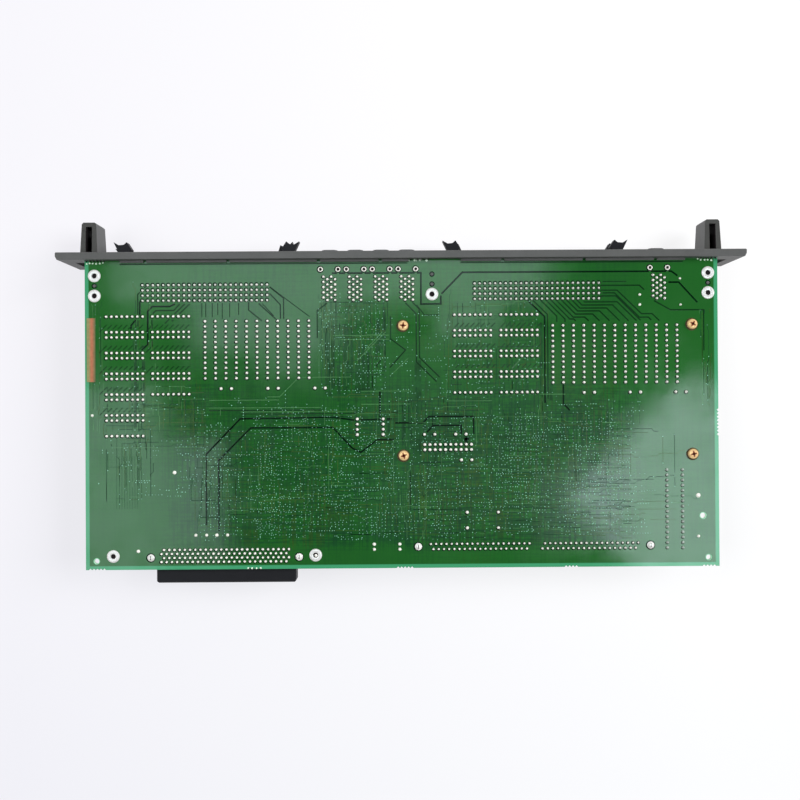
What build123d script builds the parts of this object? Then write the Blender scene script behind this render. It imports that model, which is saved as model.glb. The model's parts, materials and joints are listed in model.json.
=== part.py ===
from build123d import *
import os
from math import atan2, cos, degrees, pi, radians, sin, tan

# A plug-in control board: one long circuit board behind a moulded front panel with two pull
# handles. It lies solder side up, on the panel's far edge and on its plug-in memory card.
# X runs along the board, +Y points out of the front panel, +Z out of the solder side.
# Layout positions are measured from the board's centre. Lengths are millimetres.

# ---- pin grid --------------------------------------------------------------------------
PITCH = 2.54
CLEARANCE = 0.3               # between separate pieces that only sit side by side

# ---- circuit board ---------------------------------------------------------------------
BOARD_LENGTH = 310.0
BOARD_WIDTH = 151.2
BOARD_THICKNESS = 1.6
SOLDER_SETBACK = 4.4          # solder face below the panel's near edge
BITE_RADIUS = 0.55            # break-off holes left along the board's edges
BITE_PITCH = 1.7
PAD_SIZE = 1.7                # solder cone on the solder side
PAD_HEIGHT = 1.1
SMALL_FLATS = 8               # sides of the small rounds that repeat
BITE_FLATS = 4
BITE_END_INSET = 5.2          # bites of the two long edges from the board's ends
BITE_SIDE_Y = -5.1
BACK_BITE_SHARES = (-0.964, -0.468, 0.006, 0.531, 0.968)      # of half the board's length
BACK_BITE_COUNTS = (5, 4, 5, 4, 4)
FRONT_BITE_COUNT = 6
SIDE_BITES = 8

# ---- front panel -----------------------------------------------------------------------
PANEL_OVERHANG = 13.0         # past each end of the board
PANEL_THICKNESS = 3.6
PANEL_DEPTH = 34.0
PANEL_EDGE = 0.8              # cut of the panel's two ends at the back
PANEL_BREAK = 0.3             # chamfer round the panel's front
PANEL_CORNER = 1.6            # taper of the two ends towards the back
POCKET_DEPTH = 1.9            # hollow in the panel's back at each end
POCKET_END_WALL = 6.3
POCKET_NEAR_RIM = 10.7
POCKET_FAR_RIM = 4.0
LIP_REACH = 1.2               # shelf that overlaps the board's solder face
LIP_THICKNESS = 1.2
LIP_NOTCH = 1.6
LIP_NOTCH_SHARES = ((0.086, 0.374, 0.688, 0.902), (0.187, 0.550, 0.868))
LIP_INSETS = (17.5, 16.1)     # from the board's ends
LIP_STEPS = (11.4, 14.2)      # from the middle bracket
HANDLE_INSET = 0.4            # handle centre from the board's end
HANDLE_WIDTH = 8.6
HANDLE_DEPTH = 15.5
HANDLE_HEIGHT = 16.3
HANDLE_TAPER = 2.6            # degrees
HANDLE_SLOT = 3.0
HANDLE_SLOT_DEPTH = 9.0
HANDLE_CROWN = 2.2            # solid end above the slot
HANDLE_EYE = 3.6              # part of the slot that goes right through
BRACKET_WIDTH = 9.0           # panel's feet under the board, riveted through it
BRACKET_THICKNESS = 3.0
BRACKET_END = 4.4             # past the last rivet

# ---- rivets, pegs and locating holes ---------------------------------------------------
RIVET_FLANGE = 6.2
RIVET_BARREL = 3.0
RIVET_BORE = 2.0
RIVET_LIP = 0.5
RIVET_INSET_X = 4.7           # corner rivets from the board's ends
RIVET_INSET_Y = 7.4           # front rivet from the board's front edge
RIVET_SPACING = 9.8
MIDDLE_BRACKET_STEP = 12.2    # from the fourth tall connector
PEG_DIAMETER = 1.6
PEG_HEIGHT = 0.3              # above the solder face
GUIDE_RIVET_INSET = 13.4      # the two rivets along the back edge
PLUG_RIVET_STEP = 44.2        # from the middle of the backplane connector
REAR_RIVET_INSET = 6.6
LOCATING_INSET_X = 5.3
LOCATING_INSET_Y = 4.3
LOCATING_DIAMETER = 2.5
TEST_HOLE_DIAMETER = 2.8
TEST_HOLE_INSET = 7.9
TEST_HOLE_BACKSET = 24.7      # from the back edge

# ---- copper strip along the left edge --------------------------------------------------
STRIP_WIDTH = 4.2
STRIP_LENGTH = 31.2
STRIP_THICKNESS = 0.15
STRIP_INSET = 0.9
STRIP_FRONTSET = 43.7         # middle of the strip from the front edge

# ---- double-deck cable headers ---------------------------------------------------------
HEADER_GAPS = ((7.2, 13.0), (4.6, 12.0))   # ears to the neighbours at the left and at the right
HEADER_DECK_ROWS = 2
HEADER_PIN = 0.64
HEADER_PIN_RISE = 1.2         # pin tip above the solder face
HEADER_ROW_INSET = 12.1       # front pin row from the board's front edge
HEADER_REAR_GAP = 2.0         # front pin row to the housing
SHROUD_END = 3.6              # cavity past the last pin
SHROUD_END_WALL = 1.2
SHROUD_WALL = 1.5
SHROUD_CAVITY = 6.4           # cavity height of one deck
SHROUD_DEPTH = 9.0
SHROUD_RECESS = 1.2           # mouth behind the panel's front
SHROUD_PIN = 6.4              # pin length inside the cavity
DECK_SEAT = 2.0               # board to the first cavity
DECK_WEB = 4.0                # between the two cavities
KEY_WIDTH = 4.5
KEY_DEPTH = 1.2
KEY_LENGTH = 7.0

# ---- ejector latches -------------------------------------------------------------------
LATCH_THICKNESS = 5.0
LATCH_STEM = 4.2
LATCH_GAP = 0.4               # stem to the shroud when closed
LATCH_SIDE_GAP = 0.25
LATCH_PIVOT_HEIGHT = 1.5      # pivot in front of the cavity's floor
LATCH_LEAN = 18.0             # outward lean at rest, degrees
LATCH_LEANS = {"latch_left_a_far": 27.0, "latch_left_b_far": 2.0, "latch_right_a_far": 10.0}
LATCH_OPEN = 38.0             # outward lean when fully open, degrees
LATCH_HEAD = 15.8             # pivot to the middle of the thumb hollow's rim
LATCH_HORN = 3.1              # half width of the head
LATCH_HOOK = 4.2
LATCH_NECK = 6.6              # underside of the head from its rim
LATCH_BEAK = 5.2              # tip of the cable hook from the rim
LATCH_HOLLOW = 1.5
LATCH_TOE = 6.0
LATCH_HEEL = 50.0             # the round heel ends this far below the toe, degrees
TRUNNION_RADIUS = 1.0
TRUNNION_LENGTH = 1.4
TRUNNION_FIT = 0.06
EAR_LENGTH = 7.0
EAR_BACKSET = 1.6             # ears behind the panel's back

# ---- tall input and output connectors --------------------------------------------------
PORT_FIRST_X = -35.4
PORT_SPACING = 12.7
PORT_COUNT = 4
PORT_LAST_INSET = 28.8
PORT_WIDTH = 11.2
PORT_HEIGHT = 22.0
PORT_LENGTH = 22.5
PORT_CHAMFER = 1.0
PORT_POST = 2.4
PORT_POST_SPACING = 8.6
PORT_POST_INSET = 4.8         # posts behind the board's front edge
PORT_PIN_INSET = 8.4
PORT_PIN_COLUMNS = 4
PORT_PIN_ROWS = 5
PORT_COLUMN_PITCH = 1.905
SHELL_WIDTH = 7.6
SHELL_HEIGHT = 19.0
SHELL_WALL = 0.5
SHELL_CHAMFER = 1.4
SHELL_PROUD = 1.7             # past the panel's front
TONGUE_WIDTH = 2.0
TONGUE_MARGIN = 1.6
TONGUE_RECESS = 1.2

# ---- backplane connector ---------------------------------------------------------------
PLUG_INSET = 68.0             # middle from the board's left end
PLUG_COLUMNS = 25
PLUG_ROWS = 4
PLUG_ROW_SPACING = 1.97
PLUG_ROW_INSET = 3.7          # rear pin row from the board's back edge
PLUG_END = 2.5                # nose past the last pin
PLUG_SHOULDER = 3.9           # housing past the nose, carries the board locks
PLUG_HEIGHT = 12.0
PLUG_OVERHANG = 7.2
PLUG_NOSE_HEIGHT = 8.6
PLUG_NOSE_LENGTH = 10.4
PLUG_SLOT = 1.4
PLUG_SLOT_DEPTH = 5.0
PLUG_FRONT = 3.2              # housing in front of the first pin row
LOCK_DIAMETER = 2.6
LOCK_RISE = 1.0
LOCK_FIT = 0.1
PLUG_LOCK_INSET = 5.8         # board locks from the back edge

# ---- memory card and its socket --------------------------------------------------------
SOCKET_INSET = 90.6           # middle from the board's right end
SOCKET_POSITIONS = 81         # contact positions at half the pin grid, less the key gap
SOCKET_KEY_FIRST = 39
SOCKET_KEY_POSITIONS = 4
SOCKET_ROW_SPACING = 2.5
SOCKET_BACKSET = 10.4
SOCKET_WIDTH = 8.0
SOCKET_HEIGHT = 8.5
SOCKET_END = 9.0              # socket past the last contact
SOCKET_TOWER = 5.6
SOCKET_TOWER_HEIGHT = 15.0
SOCKET_FLOOR = 2.6
SOCKET_LOCK_OFFSET = 56.9
CARD_THICKNESS = 1.3
CARD_FIT = 0.1
CARD_GRIP = 1.6               # how far the card's ends enter the towers
CARD_CHIP = (8.6, 1.9, 17.2)  # width, thickness, height
CARD_CHIP_GAP = 1.15          # socket to the chips, and chips to the card's edge
CARD_CHIP_COUNT = 8
CARD_CHIP_SPACING = 12.6

# ---- chips -----------------------------------------------------------------------------
CHIP_SEAT = 0.4               # bodies stand off the board
DIP_PINS = 8
DIP_ROW_SPACING = 3 * PITCH
DIP_STACK = 4 * PITCH
DIP_LENGTH = 19.4
DIP_WIDTH = 6.4
DIP_HEIGHT = 3.5
DIP_FRONTSET = 27.4           # first pin row from the front edge
DIP_INSETS_LEFT = (10.4, 33.0)                   # first pin of each column from the left end
DIP_COUNTS_LEFT = (6, 4)
DIP_STEPS_RIGHT = (10.9, 33.7)                   # first pin of each column from the middle bracket
DIP_COUNTS_RIGHT = (4, 4)
SIP_PINS = 12
SIP_SPACING = 2 * PITCH
SIP_THICKNESS = 2.6
SIP_LENGTH = 30.6
SIP_HEIGHT = 11.4
SIP_INSET_LEFT = 58.7         # first module from the left end
SIP_COUNT_LEFT = 11
SIP_STEP_RIGHT = 59.1         # first module from the middle bracket
SIP_SCREW_GAP = 7.0           # last module at the right to the screw beside it
SIP_FRONTSETS = (29.9, 32.9)  # first pin row from the front edge
MEMORY_CHIP_STEP = 9.15       # from the end of the card's socket
MEMORY_CHIP_BACKSET = 28.2
MEMORY_CHIP_PINS = 16
MEMORY_CHIP_SIZE = (6.6, 41.0, 3.8)
LARGE_CHIPS = ((79.0, 51.6, 32.0), (119.0, 37.6, 28.0))      # from the left end and the back, side
LARGE_CHIP_HEIGHT = 3.4
LARGE_CHIP_CORNER = 2.0
SMALL_CHIP_SIZE = (12.8, 7.5, 2.4)
SMALL_CHIP_FIRST = (18.0, 39.6)                  # from the left end and the back
SMALL_CHIP_SPACING = 17.0
SMALL_CHIP_ROWS = 2
SMALL_CHIP_COLUMNS = 2
SMALL_CHIP_ROW_STEP = 12.0

# ---- other parts -----------------------------------------------------------------------
OSCILLATOR_FIRST = (123.5, 27.0)                 # first pin from the right end and the back
OSCILLATOR_SPAN = (6 * PITCH, 3 * PITCH)
OSCILLATOR_SIZE = (20.8, 13.2, 5.2)
OSCILLATOR_CORNER = 2.0
TRANSFORMER_FIRST = (-22.1, 78.2)                # first pin from the middle and the front
TRANSFORMER_PINS = 4
TRANSFORMER_SPAN = 5 * PITCH
TRANSFORMER_SIZE = (15.6, 11.0, 8.0)
CAPACITOR_SPAN = 2 * PITCH
CAPACITOR_SIZE = (7.2, 3.0, 7.5)
CAPACITORS_LEFT = ((66.4, 62.9), (89.3, 62.9), (112.3, 62.9))     # from the left end and the front
CAPACITORS_RIGHT = ((65.8, 65.8), (43.2, 65.8), (20.8, 65.8))     # from the right end and the front
CAPACITORS_MIDDLE = ((10.8, 85.9), (26.1, 85.9), (28.8, 98.5))    # from the middle and the front

# ---- stacked daughter board ------------------------------------------------------------
SCREW_LEFT_X = 0.6
SCREW_RIGHT_INSET = 12.7
SCREW_FRONTSET = 32.6
SCREW_SPAN_Y = 63.6
SCREW_HEAD = 5.0
SCREW_HEAD_HEIGHT = 1.9
SCREW_SHANK = 2.9
SCREW_GRIP = 5.0              # length inside the standoff
SCREW_FIT = 0.15
STANDOFF_FLATS = 5.5
STACK_CLEARANCE = 2.2         # tallest module to the daughter board
DAUGHTER_MARGIN_X = 5.2
DAUGHTER_MARGIN_Y = 6.0
DAUGHTER_THICKNESS = 1.6
STACK_FIRST = (10.9, 90.9)    # first pin of the stacking header from the middle and the front
STACK_COLUMNS = 10
STACK_WALL = 1.6
STACK_SPLIT = 6.0             # height of the daughter board's half
DAUGHTER_CHIPS = ((38.6, 38.6, 28.0), (82.6, 38.6, 32.0), (120.6, 40.6, 24.0))   # from its near left corner
DAUGHTER_PLUG_INSET = 43.5
DAUGHTER_PLUG_BACKSET = 8.6
DAUGHTER_PLUG_SIZE = (46.0, 7.6, 7.2)

# ---- levels and places worked out from the sizes ---------------------------------------
BOARD_TOP = PANEL_DEPTH - SOLDER_SETBACK
BOARD_UNDER = BOARD_TOP - BOARD_THICKNESS
END = BOARD_LENGTH / 2
FRONT = BOARD_WIDTH / 2
BACK = -BOARD_WIDTH / 2
PANEL_FRONT = FRONT + PANEL_THICKNESS
PANEL_HALF = END + PANEL_OVERHANG
HANDLE_X = END - HANDLE_INSET
RIVET_X = END - RIVET_INSET_X
RIVET_YS = (FRONT - RIVET_INSET_Y, FRONT - RIVET_INSET_Y - RIVET_SPACING)
REAR_RIVET_Y = BACK + REAR_RIVET_INSET
ROW_SHIFT = -(PANEL_FRONT + HANDLE_HEIGHT + BACK - PLUG_OVERHANG) / 2

PORT_XS = (tuple(PORT_FIRST_X + i * PORT_SPACING for i in range(PORT_COUNT))
           + (END - PORT_LAST_INSET,))
MIDDLE_BRACKET_X = PORT_XS[-2] + MIDDLE_BRACKET_STEP
HEADER_BAYS = ((-RIVET_X + BRACKET_WIDTH / 2 + HEADER_GAPS[0][0],
                PORT_XS[0] - PORT_WIDTH / 2 - HEADER_GAPS[0][1]),
               (MIDDLE_BRACKET_X + BRACKET_WIDTH / 2 + HEADER_GAPS[1][0],
                PORT_XS[-1] - PORT_WIDTH / 2 - HEADER_GAPS[1][1]))
HEADER_X = tuple((left + right) / 2 for left, right in HEADER_BAYS)
HEADER_ENDS = 2 * (SHROUD_END + SHROUD_END_WALL + EAR_LENGTH)
HEADER_COLUMNS = 1 + round((min(right - left for left, right in HEADER_BAYS) - HEADER_ENDS) / PITCH)
HEADER_ROW_Y = FRONT - HEADER_ROW_INSET
HEADER_REAR = HEADER_ROW_Y + HEADER_REAR_GAP
HEADER_HALF_PINS = (HEADER_COLUMNS - 1) * PITCH / 2
CAVITY_HALF = HEADER_HALF_PINS + SHROUD_END
SHROUD_HALF = CAVITY_HALF + SHROUD_END_WALL
MOUTH = PANEL_FRONT - SHROUD_RECESS
CAVITY_FLOOR = MOUTH - SHROUD_DEPTH
DECK_ZS = (BOARD_UNDER - DECK_SEAT - SHROUD_CAVITY / 2,
           BOARD_UNDER - DECK_SEAT - SHROUD_CAVITY * 1.5 - DECK_WEB)
HEADER_UNDER = DECK_ZS[1] - SHROUD_CAVITY / 2 - SHROUD_WALL
PIVOT_X = SHROUD_HALF + LATCH_GAP + LATCH_STEM / 2
PIVOT_Y = CAVITY_FLOOR + LATCH_PIVOT_HEIGHT
EAR_FRONT = FRONT - EAR_BACKSET
LATCH_SLOT = LATCH_THICKNESS + 2 * LATCH_SIDE_GAP
SLOT_FLOOR = PIVOT_Y - LATCH_STEM / 2 - CLEARANCE
TOE_CLEAR_Y = PIVOT_Y + LATCH_TOE * sin(radians(LATCH_OPEN)) + 1.6
LATCH_SWING = ((PANEL_FRONT - PIVOT_Y) * tan(radians(LATCH_OPEN))
               + LATCH_STEM / 2 / cos(radians(LATCH_OPEN)))
HEADER_WINDOW_HALF = PIVOT_X + LATCH_SWING + 3 * CLEARANCE

PORT_FACE = FRONT - CLEARANCE
PORT_Z = BOARD_UNDER - PORT_HEIGHT / 2
PLUG_X = PLUG_INSET - END
PLUG_HALF_PINS = (PLUG_COLUMNS - 1) * PITCH / 2
PLUG_NOSE_HALF = PLUG_HALF_PINS + PITCH / 2 + PLUG_END
PLUG_HALF = PLUG_NOSE_HALF + PLUG_SHOULDER
PLUG_LOCK_XS = (PLUG_X - PLUG_HALF + PLUG_SHOULDER / 2, PLUG_X + PLUG_HALF - PLUG_SHOULDER / 2)
PLUG_LOCK_Y = BACK + PLUG_LOCK_INSET
SOCKET_X = END - SOCKET_INSET
SOCKET_ROW_Y = BACK + SOCKET_BACKSET
SOCKET_HALF = (SOCKET_POSITIONS - 1) * PITCH / 4 + SOCKET_END
SOCKET_LOCK_XS = (SOCKET_X - SOCKET_LOCK_OFFSET, SOCKET_X + SOCKET_LOCK_OFFSET)
CARD_HALF = SOCKET_HALF - SOCKET_TOWER + CARD_GRIP - CARD_FIT
CARD_TOP = BOARD_UNDER - SOCKET_FLOOR
SCREW_XS = (SCREW_LEFT_X, END - SCREW_RIGHT_INSET)
SCREW_YS = (FRONT - SCREW_FRONTSET - SCREW_SPAN_Y, FRONT - SCREW_FRONTSET)
SCREW_PLACES = [(x, y) for x in SCREW_XS for y in SCREW_YS]
DAUGHTER_TOP = BOARD_UNDER - CHIP_SEAT - SIP_HEIGHT - STACK_CLEARANCE
DAUGHTER_UNDER = DAUGHTER_TOP - DAUGHTER_THICKNESS
DAUGHTER_LEFT = SCREW_XS[0] - DAUGHTER_MARGIN_X
DAUGHTER_RIGHT = SCREW_XS[1] + DAUGHTER_MARGIN_X
DAUGHTER_BACK = SCREW_YS[0] - DAUGHTER_MARGIN_Y
DAUGHTER_FRONT = SCREW_YS[1] + DAUGHTER_MARGIN_Y

DIP_TOP_Y = FRONT - DIP_FRONTSET
DIPS_LEFT = [(inset - END, count) for inset, count in zip(DIP_INSETS_LEFT, DIP_COUNTS_LEFT)]
DIPS_RIGHT = [(MIDDLE_BRACKET_X + step, count) for step, count in zip(DIP_STEPS_RIGHT, DIP_COUNTS_RIGHT)]
SIP_FIRST_RIGHT = MIDDLE_BRACKET_X + SIP_STEP_RIGHT
SIP_COUNT_RIGHT = 1 + int((SCREW_XS[1] - SIP_SCREW_GAP - SIP_FIRST_RIGHT) / SIP_SPACING)
SIPS_LEFT = (SIP_INSET_LEFT - END, FRONT - SIP_FRONTSETS[0], SIP_COUNT_LEFT)
SIPS_RIGHT = (SIP_FIRST_RIGHT, FRONT - SIP_FRONTSETS[1], SIP_COUNT_RIGHT)
MEMORY_CHIP_X = SOCKET_X + SOCKET_HALF + MEMORY_CHIP_STEP
MEMORY_CHIP_Y = BACK + MEMORY_CHIP_BACKSET
OSCILLATOR_PIN = (END - OSCILLATOR_FIRST[0], BACK + OSCILLATOR_FIRST[1])
TRANSFORMER_PIN = (TRANSFORMER_FIRST[0], FRONT - TRANSFORMER_FIRST[1])
STACK_PIN = (STACK_FIRST[0], FRONT - STACK_FIRST[1])
CAPACITOR_PINS = ([(x - END, FRONT - y) for x, y in CAPACITORS_LEFT]
                  + [(END - x, FRONT - y) for x, y in CAPACITORS_RIGHT]
                  + [(x, FRONT - y) for x, y in CAPACITORS_MIDDLE])

os.makedirs("parts", exist_ok=True)


def span_box(x0, x1, y0, y1, z0, z1):
    """Box between two limits on each axis."""
    centre = Pos((x0 + x1) / 2, (y0 + y1) / 2, (z0 + z1) / 2)
    return centre * Box(x1 - x0, y1 - y0, z1 - z0)


def hung_box(x, y, size, top):
    """Box of a given size whose upper face is at the level top."""
    return Pos(x, y, top - size[2] / 2) * Box(*size)


def round_hole(x, y, diameter, z0, z1):
    """Tool for an upright round hole."""
    return Pos(x, y, (z0 + z1) / 2) * Cylinder(diameter / 2, z1 - z0)


def small_post(x, y, diameter, z0, z1):
    """Small upright post with flats; its diameter is across the corners."""
    return Pos(x, y, z0) * extrude(RegularPolygon(diameter / 2, SMALL_FLATS), z1 - z0)


def small_hole(x, y, diameter, z0, z1, flats=SMALL_FLATS):
    """Tool for a small hole with flats; its diameter is across the flats."""
    return Pos(x, y, z0) * extrude(RegularPolygon(diameter / 2, flats, major_radius=False), z1 - z0)


def small_cone(x, y, diameter, top, z0, z1):
    """Small tapered stud with flats, narrowing to the diameter top."""
    taper = degrees(atan2((diameter - top) / 2 * cos(pi / SMALL_FLATS), abs(z1 - z0)))
    return Pos(x, y, z0) * extrude(RegularPolygon(diameter / 2, SMALL_FLATS), z1 - z0, taper=taper)


def group(solids):
    """Several separate solids that share one node."""
    return Compound(children=[solid for shape in solids for solid in shape.solids()])


def save(name, shape):
    """Write one node, moved so that the whole part is centred on its origin."""
    export_step(Pos(0, ROW_SHIFT, 0) * shape, f"parts/{name}.step")


# ---- layout of the soldered pins -------------------------------------------------------

def pin_rows(x, y, columns, rows, column_pitch=PITCH, row_pitch=PITCH):
    """Pin places from the first pin to the right and to the back."""
    return [(x + i * column_pitch, y - j * row_pitch) for j in range(rows) for i in range(columns)]


def dip_chips(columns):
    """First pin of every chip in the stacked columns."""
    return [(x, DIP_TOP_Y - k * DIP_STACK) for x, count in columns for k in range(count)]


def dip_pins(columns):
    places = []
    for x, y in dip_chips(columns):
        places += pin_rows(x, y, DIP_PINS, 2, row_pitch=DIP_ROW_SPACING)
    return places


def sip_pins(x, y, count):
    return pin_rows(x, y, count, SIP_PINS, column_pitch=SIP_SPACING)


def port_pins(x):
    """Four columns of contacts, every second one set back by half the grid."""
    first_x = x - (PORT_PIN_COLUMNS - 1) * PORT_COLUMN_PITCH / 2
    places = []
    for i in range(PORT_PIN_COLUMNS):
        y = FRONT - PORT_PIN_INSET - (i % 2) * PITCH / 2
        places += pin_rows(first_x + i * PORT_COLUMN_PITCH, y, 1, PORT_PIN_ROWS)
    return places


def plug_pins():
    """Staggered rows of the backplane connector, counted from the board's back edge."""
    places = []
    for j in range(PLUG_ROWS):
        x = PLUG_X - PLUG_HALF_PINS + (j % 2) * PITCH / 2 - PITCH / 4
        y = BACK + PLUG_ROW_INSET + j * PLUG_ROW_SPACING
        places += pin_rows(x, y, PLUG_COLUMNS, 1)
    return places


def socket_pins():
    """Two staggered rows with a gap where the card is keyed."""
    key = range(SOCKET_KEY_FIRST, SOCKET_KEY_FIRST + SOCKET_KEY_POSITIONS)
    first = SOCKET_X - (SOCKET_POSITIONS - 1) * PITCH / 4
    places = []
    for i in range(SOCKET_POSITIONS):
        if i not in key:
            side = 1 if i % 2 == 0 else -1
            places.append((first + i * PITCH / 2, SOCKET_ROW_Y + side * SOCKET_ROW_SPACING / 2))
    return places


def small_part_pins():
    """Pins of the oscillator, transformer, memory chip, capacitors and stacking header."""
    places = pin_rows(*OSCILLATOR_PIN, 2, 2, OSCILLATOR_SPAN[0], OSCILLATOR_SPAN[1])
    places += pin_rows(*TRANSFORMER_PIN, 2, TRANSFORMER_PINS, TRANSFORMER_SPAN)
    memory_x = MEMORY_CHIP_X - DIP_ROW_SPACING / 2
    memory_y = MEMORY_CHIP_Y + (MEMORY_CHIP_PINS - 1) * PITCH / 2
    places += pin_rows(memory_x, memory_y, 2, MEMORY_CHIP_PINS, DIP_ROW_SPACING)
    for x, y in CAPACITOR_PINS:
        places += pin_rows(x, y, 2, 1, CAPACITOR_SPAN)
    places += pin_rows(*STACK_PIN, STACK_COLUMNS, 2)
    return places


def solder_cone():
    """Three-sided cone of solder round one pin end."""
    foot = [Vector(PAD_SIZE / 2 * cos(2 * pi * i / 3), PAD_SIZE / 2 * sin(2 * pi * i / 3), 0)
            for i in range(3)]
    tip = Vector(0, 0, PAD_HEIGHT)
    sides = [Face(Wire.make_polygon([foot[i], foot[(i + 1) % 3], tip])) for i in range(3)]
    base = Face(Wire.make_polygon(list(reversed(foot))))
    return Solid(Shell([base] + sides))


def solder(places):
    cone = solder_cone()
    return Compound(children=[cone.moved(Location((x, y, BOARD_TOP))) for x, y in places])


# ---- circuit board ---------------------------------------------------------------------

def edge_bites():
    """Half holes left by the tabs that held the board in its sheet."""
    corner = END - BITE_END_INSET
    middle = (PORT_XS[-2] + MIDDLE_BRACKET_X) / 2
    runs = [(x, FRONT, FRONT_BITE_COUNT) for x in (-corner, middle, corner)]
    runs += [(END * share, BACK, count) for share, count in zip(BACK_BITE_SHARES, BACK_BITE_COUNTS)]
    places = []
    for x, y, count in runs:
        places += [(x + (i - (count - 1) / 2) * BITE_PITCH, y) for i in range(count)]
    places += [(END, BITE_SIDE_Y + (i - (SIDE_BITES - 1) / 2) * BITE_PITCH) for i in range(SIDE_BITES)]
    return places


def rivet_places():
    corner = [(side * RIVET_X, y) for side in (-1, 1) for y in RIVET_YS]
    rear = [(GUIDE_RIVET_INSET - END, REAR_RIVET_Y), (PLUG_X + PLUG_RIVET_STEP, REAR_RIVET_Y)]
    return corner + [(MIDDLE_BRACKET_X, RIVET_YS[1])] + rear


def peg_places():
    """Pegs of the panel's brackets, between and beside the rivets."""
    middle = (RIVET_YS[0] + RIVET_YS[1]) / 2
    return [(-RIVET_X, middle), (RIVET_X, middle), (MIDDLE_BRACKET_X, middle),
            (MIDDLE_BRACKET_X, RIVET_YS[0])]


def main_board():
    low, high = BOARD_UNDER - 1, BOARD_TOP + 1
    board = span_box(-END, END, BACK, FRONT, BOARD_UNDER, BOARD_TOP)
    holes = [(x, y, RIVET_BARREL + LOCK_FIT) for x, y in rivet_places()]
    holes += [(x, y, PEG_DIAMETER + LOCK_FIT) for x, y in peg_places()]
    holes += [(x, y, SCREW_SHANK + 2 * SCREW_FIT) for x, y in SCREW_PLACES]
    holes += [(x, PLUG_LOCK_Y, LOCK_DIAMETER + 2 * LOCK_FIT) for x in PLUG_LOCK_XS]
    holes += [(x, SOCKET_ROW_Y, LOCK_DIAMETER + 2 * LOCK_FIT) for x in SOCKET_LOCK_XS]
    tools = [small_hole(x, y, diameter, low, high) for x, y, diameter in holes]
    tools += [small_hole(x, y, 2 * BITE_RADIUS, low, high, BITE_FLATS) for x, y in edge_bites()]
    for side in (-1, 1):
        tools.append(round_hole(side * (END - LOCATING_INSET_X), BACK + LOCATING_INSET_Y,
                                LOCATING_DIAMETER, low, high))
    tools.append(round_hole(END - TEST_HOLE_INSET, BACK + TEST_HOLE_BACKSET, TEST_HOLE_DIAMETER,
                            low, high))
    return board - tools


def copper_strip():
    x = STRIP_INSET - END
    y = FRONT - STRIP_FRONTSET
    return span_box(x, x + STRIP_WIDTH, y - STRIP_LENGTH / 2, y + STRIP_LENGTH / 2,
                    BOARD_TOP, BOARD_TOP + STRIP_THICKNESS)


def rivet(x, y):
    """Hollow rivet with its flange on the solder side."""
    flange = small_post(x, y, RIVET_FLANGE, BOARD_TOP, BOARD_TOP + RIVET_LIP)
    barrel = small_post(x, y, RIVET_BARREL, BOARD_UNDER, BOARD_TOP)
    bore = small_hole(x, y, RIVET_BORE, BOARD_UNDER - 1, BOARD_TOP + RIVET_LIP + 1)
    return flange + barrel - bore


# ---- front panel -----------------------------------------------------------------------

def handle(x):
    """Tapered pull handle with a slot down its near side and an eye through its end."""
    foot = Plane(origin=(x, PANEL_FRONT, PANEL_DEPTH / 2), x_dir=(1, 0, 0), z_dir=(0, 1, 0))
    grip = extrude(foot * Rectangle(HANDLE_WIDTH, HANDLE_DEPTH), HANDLE_HEIGHT, taper=HANDLE_TAPER)
    tip_edges = grip.faces().sort_by(Axis.Y)[-1].edges().filter_by(Axis.Z)
    grip = chamfer(tip_edges, PANEL_EDGE)
    near = PANEL_DEPTH / 2 + HANDLE_DEPTH / 2
    slot_end = PANEL_FRONT + HANDLE_HEIGHT - HANDLE_CROWN
    half = HANDLE_SLOT / 2
    slot = span_box(x - half, x + half, PANEL_FRONT, slot_end, near - HANDLE_SLOT_DEPTH, near)
    eye = span_box(x - half, x + half, slot_end - HANDLE_EYE, slot_end, 0, near)
    return grip - slot - eye


def bracket(x, y_end):
    """Foot of the panel that lies under the board, with its rivet bores."""
    half = BRACKET_WIDTH / 2
    foot = span_box(x - half, x + half, y_end, FRONT, BOARD_UNDER - BRACKET_THICKNESS, BOARD_UNDER)
    bores = [small_hole(px, py, RIVET_BORE, 0, BOARD_UNDER) for px, py in rivet_places()
             if abs(px - x) < half and y_end < py]
    pegs = [small_post(px, py, PEG_DIAMETER, BOARD_UNDER - 1, BOARD_TOP + PEG_HEIGHT)
            for px, py in peg_places() if abs(px - x) < half]
    return foot - bores + pegs


def panel_plate():
    """Moulded plate with tapered ends and a chamfered front."""
    outline = Polyline((-PANEL_HALF, PANEL_FRONT), (PANEL_HALF, PANEL_FRONT),
                       (PANEL_HALF, FRONT + PANEL_CORNER), (PANEL_HALF - PANEL_EDGE, FRONT),
                       (-PANEL_HALF + PANEL_EDGE, FRONT), (-PANEL_HALF, FRONT + PANEL_CORNER), close=True)
    plate = extrude(make_face(outline), PANEL_DEPTH)
    front_edges = plate.faces().sort_by(Axis.Y)[-1].edges()
    return chamfer(front_edges, PANEL_BREAK)


def panel_windows():
    """Openings for the cable headers with their latches and for the tall connectors."""
    windows = []
    for x in HEADER_X:
        windows.append(span_box(x - HEADER_WINDOW_HALF, x + HEADER_WINDOW_HALF, FRONT, PANEL_FRONT,
                                HEADER_UNDER - CLEARANCE, BOARD_UNDER + CLEARANCE))
    half_x = SHELL_WIDTH / 2 + CLEARANCE
    half_z = SHELL_HEIGHT / 2 + CLEARANCE
    for x in PORT_XS:
        windows.append(span_box(x - half_x, x + half_x, FRONT, PANEL_FRONT, PORT_Z - half_z, PORT_Z + half_z))
    return windows


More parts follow.
